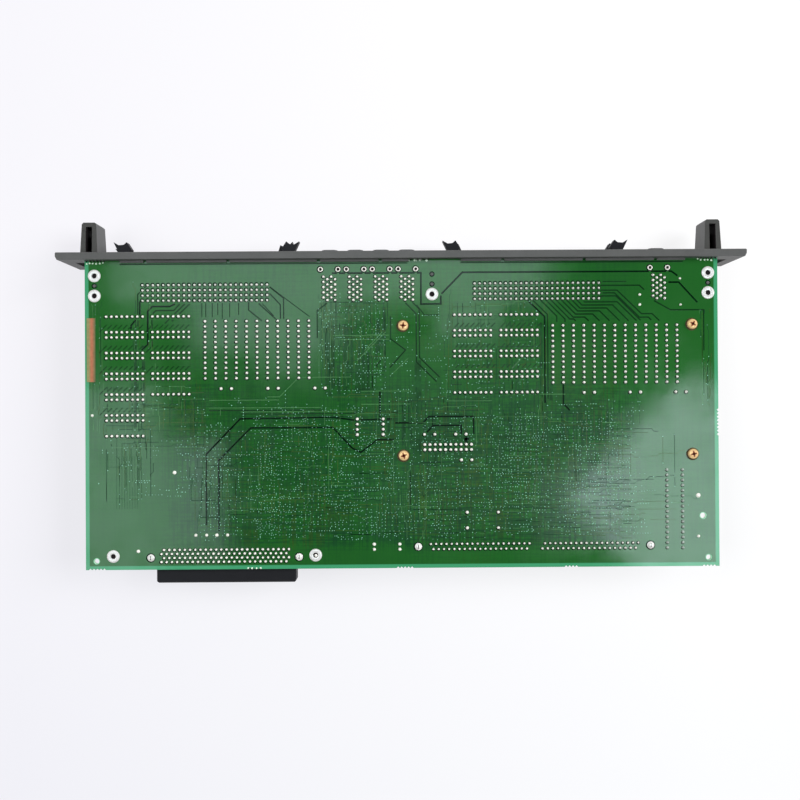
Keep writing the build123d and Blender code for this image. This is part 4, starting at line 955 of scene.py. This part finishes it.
class CONTROLBOARD_OT_copper(Operator):
    """Bare copper strip along the board's left edge"""
    bl_idname = "control_board.copper"
    bl_label = "Copper strip"

    def execute(self, context):
        low, high = box("copper_strip")
        size = high - low
        sheet = Shape()
        rnd = random.Random(4)
        columns, rows = 5, 32
        points = []
        for j in range(rows + 1):
            for i in range(columns + 1):
                edge = i in (0, columns) or j in (0, rows)
                wave = 0 if edge else rnd.uniform(-0.02, 0.03)
                points.append((low.x + size.x * i / columns, low.y + size.y * j / rows, high.z + wave))
        step = columns + 1
        faces = [(a, a + 1, a + step + 1, a + step) for a in range(rows * step) if a % step < columns]
        sheet.add(points, faces)
        sheet.bar(low, (high.x, high.y, high.z - 0.03))
        make("bare_strip", sheet, "copper", "copper_strip")
        return {"FINISHED"}


# ---- operators: solder and metal -------------------------------------------------

def joint(shape, rnd, x, y, radius, height, slot=0):
    """A fillet of solder that climbs round a clipped pin."""
    lean = (rnd.uniform(-0.12, 0.12), rnd.uniform(-0.12, 0.12))
    r = radius * rnd.uniform(0.94, 1.06)
    h = height * rnd.uniform(0.85, 1.0)
    pin = min(0.3, r * 0.5)
    profile = ((r, 0), (r * 0.97, h * 0.1), (r * 0.8, h * 0.32), (r * 0.58, h * 0.6), (pin * 1.15, h * 0.84),
               (pin * 0.8, h * 0.97), (0, h))
    shape.lathe((x, y, SOLDER_FACE), profile, settings().metal.joint_sides, slot, lean, rnd.uniform(0, 1))


class CONTROLBOARD_OT_solder(Operator):
    """Solder joints of the chips, modules and connectors"""
    bl_idname = "control_board.solder"
    bl_label = "Solder joints"

    def execute(self, context):
        radius = settings().metal.joint_radius / MM
        rnd = random.Random(21)
        rings = Shape()
        for node, share in (("solder_left", 0.95), ("solder_right", 0.95), ("solder_ports", 0.92),
                            ("solder_plug", 0.9), ("solder_socket", 0.8), ("solder_small_parts", 1.08),
                            ("header_pins_left", 0.82), ("header_pins_right", 0.82)):
            shape = Shape()
            tall = node.startswith("solder")
            for x, y, top in tips(node):
                across, up = layout(x, y)
                dull = across > 126 and -68 < up < -22
                joint(shape, rnd, x, y, radius * share, top - SOLDER_FACE if tall else 0.75, int(dull))
                # Dark ring round each joint: a gap in the copper, shifted to the lower left, or to the upper
                # left for the header pins, as painted shade.
                ring = radius * share + (0.15 if dull else 0.36 if tall else 0.5)
                shift = 0.1 if tall else -0.18
                rings.washer(x - 0.15, y - shift, ring, ring * 0.97, ring * 0.5, 0.014, 12)
            make(f"joints_{node}", shape, "solder dull_solder", node if tall else None, "solder_tin",
                 smooth=70)
        make("joint_gaps_and_shade", rings, "gap")
        lone = Shape()
        for x, y, size in LONE_JOINTS:
            joint(lone, rnd, *on_board(x, y), size, 1)
        make("joints_lone", lone, "solder", slot="solder_tin", smooth=70)
        return {"FINISHED"}


class CONTROLBOARD_OT_header_pins(Operator):
    """Square header contacts with chamfered tips"""
    bl_idname = "control_board.header_pins"
    bl_label = "Header contacts"

    def execute(self, context):
        half = 0.32
        for side in ("left", "right"):
            shape = Shape()
            for low, high in boxes(f"header_pins_{side}"):
                x, y, z = (low.x + high.x) / 2, low.y + half, low.z + half
                self.post(shape, Vector((x, y, z - half)), Vector((x, y, high.z)), half)
                self.post(shape, Vector((x, y + half, z)), Vector((x, high.y, z)), half)
            make(f"contacts_{side}", shape, "tin", f"header_pins_{side}", smooth=20)
        return {"FINISHED"}

    def post(self, shape, start, end, half):
        """Square post with a short tapered tip."""
        run = (end - start).normalized()
        one = Vector((1, 0, 0))
        two = run.cross(one)
        shape.loft([[at + (one * a + two * b) * size for a, b in ((-1, -1), (1, -1), (1, 1), (-1, 1))]
                    for at, size in ((start, half), (end - run * 0.4, half), (end, half * 0.5))])


class CONTROLBOARD_OT_rivets(Operator):
    """Hollow rivets, the connectors' board locks and hold-downs, and dark rings round the brackets' pegs"""
    bl_idname = "control_board.rivets"
    bl_label = "Rivets and locks"

    def execute(self, context):
        sides = settings().metal.round_sides
        rivets, bores, gaps, locks, posts = (Shape() for _ in range(5))
        for low, high in boxes("rivets"):
            x, y, r = round_of(low, high)
            top = high.z - SOLDER_FACE
            profile = ((r, 0), (r, top * 0.35), (r - 0.25, top * 0.85), (r * 0.72, top), (1.55, top * 0.95),
                       (1.25, top * 0.7), (1.25, 0), (1.25, low.z - SOLDER_FACE))
            rivets.lathe((x, y, SOLDER_FACE), profile, sides)
            bores.lathe((x, y, SOLDER_FACE - 0.4), ((1.3, 0), (0, 0.01)), 24)
        make("eyelets", rivets, "nickel", "rivets", smooth=50)
        make("eyelet_shade", bores, "bore", slot="rivet_metal")
        for low, high in boxes("board_locks"):
            x, y, r = round_of(low, high)
            top = high.z - SOLDER_FACE
            profile = ((r * 0.98, low.z - SOLDER_FACE), (r * 0.98, 0.05), (r, top * 0.4),
                       (r * 0.8, top * 0.85), (r * 0.35, top), (0, top * 0.96))
            locks.lathe((x, y, SOLDER_FACE), profile, sides // 2)
            locks.lathe((x, y, SOLDER_FACE), ((r * 1.35, 0), (r * 1.28, 0.12), (r * 0.9, 0.2)), sides // 2)
            # A dark bar across the head, in the shaded bore finish: painted shade of the slit.
            locks.ribbon([(x, y - r * 0.7), (x, y + r * 0.7)], 0.42, SOLDER_FACE + top * 0.9, top * 0.1, 1)
            # Dark ring round the lock: a gap in the copper, shifted to the left as painted shade.
            gaps.washer(x - 0.15, y, r * 1.75, r * 1.7, r, 0.016, 20)
        make("locks", locks, "lock bore", "board_locks", smooth=60)
        for low, high in boxes("port_posts"):
            x, y, r = round_of(low, high)
            top = high.z - SOLDER_FACE
            profile = ((r * 1.05, 0), (r, top * 0.5), (r * 0.82, top), (r * 0.68, top * 0.9),
                       (r * 0.6, top * 0.2))
            posts.lathe((x, y, SOLDER_FACE), profile, sides // 2)
            # A dark disc in the shaded bore finish inside the hollow top: painted shade.
            posts.lathe((x, y, SOLDER_FACE), ((r * 0.64, top * 0.25), (0, top * 0.24)), sides // 2, 1)
            # Dark ring round the post: a gap in the copper, shifted to the left as painted shade.
            gaps.washer(x - 0.12, y, r * 1.45, r * 1.4, r * 0.9, 0.016, 20)
        make("hold_downs", posts, "solder bore", "port_posts", smooth=50)
        for x, y in PEGS:
            gaps.washer(*on_board(x, y), 1.35, 1.3, 0.8, 0.016, 24)
        make("lock_gaps_and_shade", gaps, "gap")
        return {"FINISHED"}


class CONTROLBOARD_OT_screws(Operator):
    """Brass screws with cross recesses, and the hexagonal spacers"""
    bl_idname = "control_board.screws"
    bl_label = "Screws and spacers"

    def execute(self, context):
        rnd = random.Random(8)
        rings = Shape()
        under = box("daughter_board")[0].z
        for node, seat, up in (("screws", SOLDER_FACE, 1), ("daughter_screws", under, -1)):
            shape, recess = Shape(), Shape()
            for low, high in boxes(node):
                x, y, r = round_of(low, high)
                foot, top = (z - seat for z in (low.z, high.z)[::up])
                profile = ((0, foot), (r * 0.5, foot), (r * 0.5, 0), (r, 0), (r, top * 0.35),
                           (r * 0.93, top * 0.7), (r * 0.7, top * 0.93), (r * 0.35, top * 0.99), (0, top))
                shape.lathe((x, y, seat), profile, settings().metal.round_sides)
                if up > 0:
                    # Painted shadow: a dark ring under each head, shifted to the lower left.
                    rings.washer(x - 0.15, y - 0.1, r * 1.24, r * 1.2, r * 0.9, 0.02, 32)
                # The cross recess is drawn as a flat dark cross on the head: painted shade of the recess.
                turn = rnd.uniform(0, 1.5)
                for angle in (turn, turn + math.pi / 2):
                    self.slot(recess, (x, y, seat + top + 0.05 * up), angle, r * 0.6, r * 0.2)
            make(f"brass_{node}", shape, "brass", node, smooth=40)
            make(f"recess_{node}", recess, "recess", slot=slot_of(node))
        make("screw_shadow_rings", rings, "ring")
        make("spacers", None, "brass", "standoffs", bevel=0.15)
        return {"FINISHED"}

    def slot(self, shape, centre, angle, reach, half):
        """One bar of a cross recess, tapered at its ends, drawn flat and dark as painted shade."""
        x, y, z = centre
        c, s = math.cos(angle), math.sin(angle)
        side = [(-reach, -half * 0.5), (-half, -half), (half, -half), (reach, -half * 0.5)]
        outline = side + [(-u, -v) for u, v in side]
        shape.add([(x + u * c - v * s, y + u * s + v * c, z) for u, v in outline], [range(8)])


# ---- operators: moulded pieces ---------------------------------------------------

class CONTROLBOARD_OT_panel(Operator):
    """Front panel with its two handles and board brackets"""
    bl_idname = "control_board.panel"
    bl_label = "Front panel"

    def execute(self, context):
        low, high = box("front_panel")
        piece = make("panel", None, "panel handle bore", "front_panel",
                     bevel=settings().plastic.rounding / MM, segments=3)
        for face in piece.data.polygons:
            face.material_index = self.part_of(face.center / MM, face.normal, low, high)
        return {"FINISHED"}

    def part_of(self, centre, normal, low, high):
        """0 for the panel, 1 for the upper face of a handle, 2 for the walls and floor of its pocket,
        which take the shaded bore finish as painted shade.
        """
        if centre.y < high.y - 14:
            return 0
        beside = centre.x - (high.x - HANDLE_MIDDLE if centre.x > 0 else low.x + HANDLE_MIDDLE)
        wall = abs(normal.x) > 0.7 and beside * normal.x < 0
        sunk = normal.z > -0.7 and centre.z < (low.z + high.z) / 2 + 4 and centre.y < high.y - 1
        if abs(beside) < 1.9 and (wall or (sunk and abs(beside) < 0.5)):
            return 2
        return int(normal.z > 0.7)


class CONTROLBOARD_OT_latches(Operator):
    """The eight ejector latches, each carried by the empty of its body"""
    bl_idname = "control_board.latches"
    bl_label = "Ejector latches"

    def execute(self, context):
        for node in sorted(NODES):
            if node.startswith("latch_"):
                make(node.replace("latch", "ejector"), None, "black", node, bevel=0.25)
        return {"FINISHED"}


class CONTROLBOARD_OT_headers(Operator):
    """Double-deck cable header housings"""
    bl_idname = "control_board.headers"
    bl_label = "Cable headers"

    def execute(self, context):
        for side in ("left", "right"):
            make(f"header_{side}", None, "black", f"cable_header_{side}", bevel=0.2)
        return {"FINISHED"}


class CONTROLBOARD_OT_ports(Operator):
    """Serial ports: housings, metal shells and contacts"""
    bl_idname = "control_board.ports"
    bl_label = "Ports"

    def execute(self, context):
        contacts = Shape()
        for k in range(1, 6):
            make(f"port_{k}", None, "black", f"port_body_{k}", bevel=0.25)
            make(f"shell_{k}", None, "shell", f"port_shell_{k}", bevel=0.12)
            low, high = box(f"port_shell_{k}")
            for row in range(10):
                z = low.z + (high.z - low.z) * (row + 1.5) / 12
                for side in (-0.95, 0.95):
                    x = (low.x + high.x) / 2 + side
                    contacts.bar((x - 0.14, high.y - 5.2, z - 0.3), (x + 0.14, high.y - 0.9, z + 0.3))
        make("port_contacts", contacts, "gold", slot="contact_metal")
        return {"FINISHED"}


class CONTROLBOARD_OT_backplane(Operator):
    """Backplane plug with its rows of contacts"""
    bl_idname = "control_board.backplane"
    bl_label = "Backplane plug"

    def execute(self, context):
        make("rear_plug", None, "black", "backplane_plug", bevel=0.3, segments=3)
        tails = Shape()
        for x, y, _ in tips("solder_plug"):
            tails.bar((x - 0.3, y - 0.3, PART_FACE - 0.6), (x + 0.3, y + 0.3, PART_FACE))
        make("plug_tails", tails, "tin", slot="contact_metal")
        return {"FINISHED"}


class CONTROLBOARD_OT_card(Operator):
    """Upright memory card in its socket"""
    bl_idname = "control_board.card"
    bl_label = "Memory card and socket"

    def execute(self, context):
        make("socket", None, "ivory", "card_socket", bevel=0.25)
        make_card("module_card", "memory_card", "card", 1)
        left, right = box("memory_card")
        chips = Shape()
        for low, high in boxes("card_chips"):
            chips.moulding(low, high, 0.12, 0.2)
            for row in range(13):
                z = low.z + (high.z - low.z) * (row + 0.5) / 13
                for a, b in ((low.x - 0.55, low.x), (high.x, high.x + 0.55)):
                    chips.bar((a, right.y, z - 0.22), (b, right.y + 1.1, z + 0.22), 1)
        make("card_memory", chips, "epoxy tin", "card_chips", smooth=20)
        fingers = Shape()
        count = 72
        for k in range(count):
            x = left.x + (right.x - left.x) * (k + 2.5) / (count + 4)
            for a, b in ((left.y - 0.04, left.y), (right.y, right.y + 0.04)):
                fingers.bar((x - 0.45, a, right.z - 6.4), (x + 0.45, b, right.z - 0.4))
        make("card_fingers", fingers, "gold", slot="contact_metal")
        return {"FINISHED"}


# ---- operators: parts under the board --------------------------------------------

def lead_roots(low, high, count, pitch, lengthwise):
    """Root and outward direction of each lead on two opposite sides of a package."""
    along, outward = Vector((1, 0, 0)), Vector((0, 1, 0))
    if not lengthwise:
        along, outward = outward, along
    for k in range(count):
        for sign in (-1, 1):
            shift = along * (k - (count - 1) / 2) * pitch + outward * (high - low).dot(outward) / 2 * sign
            yield (low + high) / 2 + shift, outward * sign


def gull_leads(shape, low, high, seat, counts, pitch, width=0.26, reach=1.35):
    """Rows of gull-wing leads from a package's sides up to the board that carries it."""
    drop = seat - 0.07 - (low.z + high.z) / 2
    path = [(-0.1, 0), (0.4, 0), (0.65, drop * 0.92), (0.8, drop), (reach, drop)]
    for count, lengthwise in zip(counts, (True, False)):
        for root, outward in lead_roots(low, high, count, pitch, lengthwise):
            shape.lead(root, outward, path, width, 0.14)


def quad_leads(shape, low, high, seat):
    """Gull-wing leads on all four sides, as many as fit between the corners."""
    pitch = 0.65
    count = int((round(high.x - low.x, 2) - 3.5) / pitch)
    gull_leads(shape, low, high, seat, (count, count), pitch)


def through_leads(shape, low, high, seat, count, lengthwise=True):
    """Two rows of through-hole leads with wide shoulders."""
    rise = seat - (low.z + high.z) / 2
    out = 1.5 * PIN_PITCH - (high - low)[int(lengthwise)] / 2
    for root, outward in lead_roots(low, high, count, PIN_PITCH, lengthwise):
        shape.lead(root, outward, [(-0.1, 0), (out - 0.2, 0), (out, 0.25), (out, rise * 0.8)], 1.4, 0.25)
        shape.lead(root, outward, [(out, rise * 0.75), (out, rise + 0.5)], 0.5, 0.25)


def packages(name, node, seat, edges, mark, leads, *sizes, bevel=0.12):
    """Makes the moulded chips of a node, with their leads and a dimple by the first pin.

    The edges are the draft and the cut corners. The mark is the dimple's radius and its distance from
    both sides at the first corner, or None for the middle of the far side."""
    radius, inset = mark
    shape = Shape()
    for low, high in boxes(node):
        shape.moulding(low, high, *edges)
        leads(shape, low, high, seat, *sizes)
        x, y = (low.x + inset, low.y + inset) if inset else ((low.x + high.x) / 2, high.y - 2)
        # The dimple takes the shaded bore finish: painted shade.
        shape.lathe((x, y, low.z), ((radius, -0.01), (radius * 0.85, -0.02), (0, -0.012)), 16, 2)
    make(name, shape, "epoxy tin bore", node, bevel=bevel)


class CONTROLBOARD_OT_chips(Operator):
    """Chips and modules under the main board"""
    bl_idname = "control_board.chips"
    bl_label = "Chips and modules"

    def execute(self, context):
        for side in ("left", "right"):
            packages(f"drivers_{side}", f"driver_chips_{side}", PART_FACE, (0.35, 0), (0.7, 1.6),
                     through_leads, 8)
            self.modules(side)
        packages("work_memory", "memory_chip", PART_FACE, (0.4, 0), (0.9, None), through_leads, 16, False)
        packages("buffers", "buffer_chips", PART_FACE, (0.2, 0), (0.5, 1.2), gull_leads,
                 (10, 0), 1.27, 0.42, 1.3, bevel=0.1)
        packages("arrays", "gate_arrays", PART_FACE, (0.3, 1.6), (1.1, 3), quad_leads)
        return {"FINISHED"}

    def modules(self, side):
        """Upright coated ceramic modules with the parts that bulge under the coating."""
        rnd = random.Random(5)
        node = f"hybrid_modules_{side}"
        core = Vector((0.45, 0, 0))
        shape = Shape()
        for low, high in boxes(node):
            shape.moulding(low + core, high - core, 0, 0.25)
            y = low.y + 1.6
            while y < high.y - 3.6:
                long = rnd.uniform(1.8, 4.2)
                z = rnd.uniform(low.z + 1.2, high.z - 5.5)
                tall = rnd.uniform(2.0, 4.2)
                sign = rnd.choice((-1, 1))
                face = high.x - core.x if sign > 0 else low.x + core.x
                a, b = sorted((face - sign * 0.2, face + sign * 0.4))
                shape.moulding((a, y, z), (b, y + long, z + tall), 0.15)
                y += long + rnd.uniform(0.3, 1.2)
            x, y, _ = (low + high) / 2
            for k in range(12):
                spot = y + (k - 5.5) * PIN_PITCH
                shape.bar((x - 0.15, spot - 0.25, high.z - 0.6), (x + 0.15, spot + 0.25, PART_FACE), 1)
        make(f"hybrids_{side}", shape, "coating tin", node, bevel=0.18)


def scatter_parts(name, seed, area, seat, keep, count):
    """Makes small surface parts in free places under a board."""
    shape = Shape()
    rnd = random.Random(seed)
    x0, x1, y0, y1 = area
    taken = [(a.x - 1.6, a.y - 1.6, b.x + 1.6, b.y + 1.6) for a, b in keep]
    placed = tries = 0
    while placed < count and tries < count * 60:
        tries += 1
        upright = rnd.random() < 0.5
        long, wide, tall = rnd.choice(((2.0, 1.25, 0.6), (2.0, 1.25, 0.8), (3.2, 1.6, 0.6), (1.6, 0.8, 0.5)))
        dx, dy = (wide, long) if upright else (long, wide)
        x, y = on_board(rnd.uniform(x0, x1), rnd.uniform(y0, y1))
        low, high = Vector((x - dx / 2, y - dy / 2, seat - tall)), Vector((x + dx / 2, y + dy / 2, seat))
        if any(low.x < t[2] and high.x > t[0] and low.y < t[3] and high.y > t[1] for t in taken):
            continue
        taken.append((low.x - 0.6, low.y - 0.6, high.x + 0.6, high.y + 0.6))
        along = Vector((not upright, upright, 0))
        cap, rest = along * 0.22 * long, along * 0.78 * long
        shape.moulding(low + cap + Vector((0, 0, 0.03)), high - cap, slot=rnd.choice((0, 2)))
        shape.moulding(low, high - rest, slot=1)
        shape.moulding(low + rest, high, slot=1)
        placed += 1
    make(name, shape, "ceramic tin epoxy", slot="chip_plastic", bevel=0.05, segments=1)


class CONTROLBOARD_OT_daughter(Operator):
    """Stacked daughter board with its chips and connectors"""
    bl_idname = "control_board.daughter"
    bl_label = "Daughter board"

    def execute(self, context):
        low, high = box("daughter_board")
        make_card("upper_card", "daughter_board", "card", 2)
        packages("upper_arrays", "daughter_chips", low.z, (0.3, 1.4), (1, 2.6), quad_leads)
        for node, name in (("daughter_plug", "upper_plug"), ("stack_pins_housing", "stack_lower"),
                           ("stack_socket", "stack_upper")):
            make(name, None, "black", node, bevel=0.2)
        lines = Routing(31, [(*layout(*round_of(*ends)[:2]), 4) for ends in boxes("daughter_screws")])
        x0, y0 = layout(low.x + 3, low.y + 3)
        x1, y1 = layout(high.x - 3, high.y - 3)
        for k in range(6):
            left, right = (x0 + (x1 - x0) * i / 6 for i in (k, k + 1))
            lines.field(left, right, y0, y1, 26, 12, 0.3)
            lines.scatter(left, right, y0, y1, 60)
        shape = Shape()
        for path, width, _ in lines.lines:
            shape.ribbon([on_board(*place) for place in path], width, low.z, -0.03)
        for place in lines.vias:
            shape.lathe((*on_board(*place), low.z), ((0.3, 0), (0.25, -0.04), (0, -0.02)), 7, 1)
        make("upper_tracks", shape, "track via", slot=slot_of("daughter_board"))
        keep = boxes("daughter_chips", "daughter_plug", "daughter_screws")
        scatter_parts("upper_parts", 12, (x0, x1, y0, y1), low.z, keep, 60)
        return {"FINISHED"}


class CONTROLBOARD_OT_small_parts(Operator):
    """Oscillator, transformer, capacitors and small surface parts"""
    bl_idname = "control_board.small_parts"
    bl_label = "Small parts"

    def execute(self, context):
        make("crystal_can", None, "nickel", "oscillator", bevel=0.8, segments=4)
        pulse, film, marks = (Shape() for _ in range(3))
        for low, high in boxes("transformer"):
            pulse.moulding(low, high, 0.25, 0.4)
        make("pulse_transformer", pulse, "black", "transformer", bevel=0.3)
        for low, high in boxes("capacitors"):
            film.moulding(low, high, 0.2, 0.7)
            y = (low.y + high.y) / 2
            for x in (low.x + 1, high.x - 1):
                film.bar((x - 0.25, y - 0.25, high.z - 0.2), (x + 0.25, y + 0.25, PART_FACE), 1)
        make("film_capacitors", film, "resin tin", "capacitors", bevel=0.4, segments=3)
        keep = boxes(*(node for node in NODES if node not in ("main_board", "front_panel", "memory_card")
                       and not node.startswith(("solder", "latch", "daughter_board"))))
        scatter_parts("surface_parts", 9, (-150, 150, -68, 50), PART_FACE, keep, 190)
        for node in ("driver_chips_left", "driver_chips_right", "hybrid_modules_left", "hybrid_modules_right",
                     "gate_arrays", "buffer_chips", "memory_chip", "capacitors", "oscillator", "transformer"):
            gap = 2.4 if node == "gate_arrays" else 1
            for low, high in boxes(node):
                x0, y0, x1, y1 = low.x - gap, low.y - gap, high.x + gap, high.y + gap
                ring = [(x0, y0), (x1, y0), (x1, y1), (x0, y1), (x0, y0)]
                for ends in zip(ring, ring[1:]):
                    marks.ribbon(ends, 0.2, PART_FACE, -0.02)
        make("part_outlines", marks, "outline")
        return {"FINISHED"}


# ---- operators: stage ------------------------------------------------------------

class CONTROLBOARD_OT_stage(Operator):
    """White floor, softboxes, gleam panels and the camera"""
    bl_idname = "control_board.stage"
    bl_label = "Stage"

    def execute(self, context):
        s = settings().stage
        bpy.context.scene.world = bpy.data.worlds.new("studio")
        room = Finish(bpy.context.scene.world, "Background", Color=(1, 1, 1))
        room.set(Strength=room.span(room.seen(), 0, 1, s.ambient, 1))
        self.floor(s)
        self.lamps(s)
        self.flag()
        self.camera(s)
        return {"FINISHED"}

    def plane(self, name, size, place, surface):
        bpy.ops.mesh.primitive_plane_add(size=size, location=place)
        plane = bpy.context.active_object
        plane.name = name
        plane.data.materials.append(surface.owner)
        return plane

    def floor(self, s):
        """White paper, a little greyer towards the viewer, that keeps soft shadows. Its greying at the left,
        away from the key lamp, is painted shade.
        """
        paper = material("white paper", Base_Color=s.floor, Roughness=0.9, Specular_IOR_Level=0)
        x, y, _ = paper.axes()
        white = (1, 1, 1)
        # Painted shade: the paper greys towards the left, away from the key lamp.
        tone = paper.blend(paper.span(x, -0.2, 0.16), (0.885, 0.875, 0.925), white)
        near = paper.blend(paper.span(y, -0.2, 0.05), (0.93, 0.94, 0.955), white)
        tone = paper.blend(1, tone, near, "MULTIPLY")
        glow = paper.add("ShaderNodeEmission", {}, {"Color": tone, "Strength": 1})
        mix = paper.add("ShaderNodeMixShader", {}, {0: paper.seen() * s.glow,
                                                    1: Wire(paper, paper.shader.outputs[0]), 2: glow})
        paper.feed(paper.tree.nodes["Material Output"].inputs["Surface"], mix)
        self.plane("paper_floor", 6, (0, 0, 0), paper)

    def lamp(self, name, place, aim, size, power, hidden, colour=(1, 1, 1), turn=0.0):
        """A softbox that two kinds of ray don't show."""
        light = bpy.data.lights.new(name, "AREA")
        light.shape = "RECTANGLE"
        light.size, light.size_y = size
        light.energy = power
        light.color = colour
        lamp = bpy.data.objects.new(name, light)
        lamp.location = place
        lamp.rotation_euler = (Vector(aim) - Vector(place)).to_track_quat("-Z", "Y").to_euler()
        lamp.rotation_euler.z += turn
        bpy.context.scene.collection.objects.link(lamp)
        for ray in hidden:
            setattr(lamp, f"visible_{ray}", False)

    def lamps(self, s):
        for name, place, side, power in (("key", (1.4, 0.35, 1.3), 1.1, s.key),
                                         ("fill", (-1.2, 0.2, 1.4), 1.3, s.fill)):
            self.lamp(name, place, (0, 0, 0), (side, side), power * 10, ("camera", "glossy"))
        for name, across, up, turn, radiance in GLEAMS:
            wide, deep = (across[1] - across[0]) * MM, (up[1] - up[0]) * MM
            x, y = (c * MM for c in on_board(sum(across) / 2, sum(up) / 2))
            self.lamp(name, (x, y, BOARD_HIGH.z + 0.475), (x, y, 0), (wide, deep),
                      radiance * s.sheen * wide * deep * math.pi, ("camera", "diffuse"), (0.79, 0.96, 1.0),
                      math.radians(turn))

    def flag(self):
        """Black card overhead that keeps the middle of the mask dark."""
        black = material("black card", Base_Color=(0.004, 0.004, 0.004), Specular_IOR_Level=0)
        card = self.plane("black_card", 3.2, (BOARD_MIDDLE.x, BOARD_MIDDLE.y, 0.9), black)
        for ray in ("camera", "diffuse", "shadow", "transmission"):
            setattr(card, f"visible_{ray}", False)

    def camera(self, s):
        lens = bpy.data.cameras.new("camera")
        lens.lens = s.lens
        lens.sensor_width = 36
        lens.clip_start = 0.01
        lens.clip_end = 20
        camera = bpy.data.objects.new("camera", lens)
        camera.location = (BOARD_MIDDLE.x - 3.15 * MM, BOARD_MIDDLE.y + 4.3 * MM, BOARD_HIGH.z + s.height)
        camera.rotation_euler = [math.radians(a) for a in (0.29, -0.256, -0.357)]
        scene = bpy.context.scene
        scene.collection.objects.link(camera)
        scene.camera = camera
        scene.view_settings.view_transform = "Standard"


# ---- panel and registration ------------------------------------------------------

OPERATORS = (
    CONTROLBOARD_OT_board, CONTROLBOARD_OT_tracks, CONTROLBOARD_OT_copper, CONTROLBOARD_OT_solder,
    CONTROLBOARD_OT_header_pins, CONTROLBOARD_OT_rivets, CONTROLBOARD_OT_screws, CONTROLBOARD_OT_panel,
    CONTROLBOARD_OT_latches, CONTROLBOARD_OT_headers, CONTROLBOARD_OT_ports, CONTROLBOARD_OT_backplane,
    CONTROLBOARD_OT_card, CONTROLBOARD_OT_chips, CONTROLBOARD_OT_daughter, CONTROLBOARD_OT_small_parts,
    CONTROLBOARD_OT_stage,
)


class ControlBoardSettings(PropertyGroup):
    """All settings of the control board."""
    mask: PointerProperty(type=MaskSettings)
    metal: PointerProperty(type=MetalSettings)
    plastic: PointerProperty(type=PlasticSettings)
    stage: PointerProperty(type=StageSettings)


class CONTROLBOARD_PT_panel(Panel):
    """Sidebar list of the settings and the operators"""
    bl_idname = "CONTROLBOARD_PT_panel"
    bl_label = "Control Board"
    bl_space_type = "VIEW_3D"
    bl_region_type = "UI"
    bl_category = "Control Board"

    def draw(self, context):
        for group in ("mask", "metal", "plastic", "stage"):
            part = self.layout.box()
            part.label(text=group.capitalize())
            owner = getattr(context.scene.control_board, group)
            for name in owner.bl_rna.properties.keys():
                if name not in ("rna_type", "name"):
                    part.prop(owner, name)
        for operator in OPERATORS:
            self.layout.operator(operator.bl_idname)


CLASSES = (MaskSettings, MetalSettings, PlasticSettings, StageSettings, ControlBoardSettings,
           *OPERATORS, CONTROLBOARD_PT_panel)


def register():
    for item in CLASSES:
        bpy.utils.register_class(item)
    bpy.types.Scene.control_board = PointerProperty(type=ControlBoardSettings)


def unregister():
    del bpy.types.Scene.control_board
    for item in reversed(CLASSES):
        bpy.utils.unregister_class(item)


def main():
    register()
    for operator in OPERATORS:
        group, name = operator.bl_idname.split(".")
        getattr(getattr(bpy.ops, group), name)()


if __name__ == "__main__":
    main()
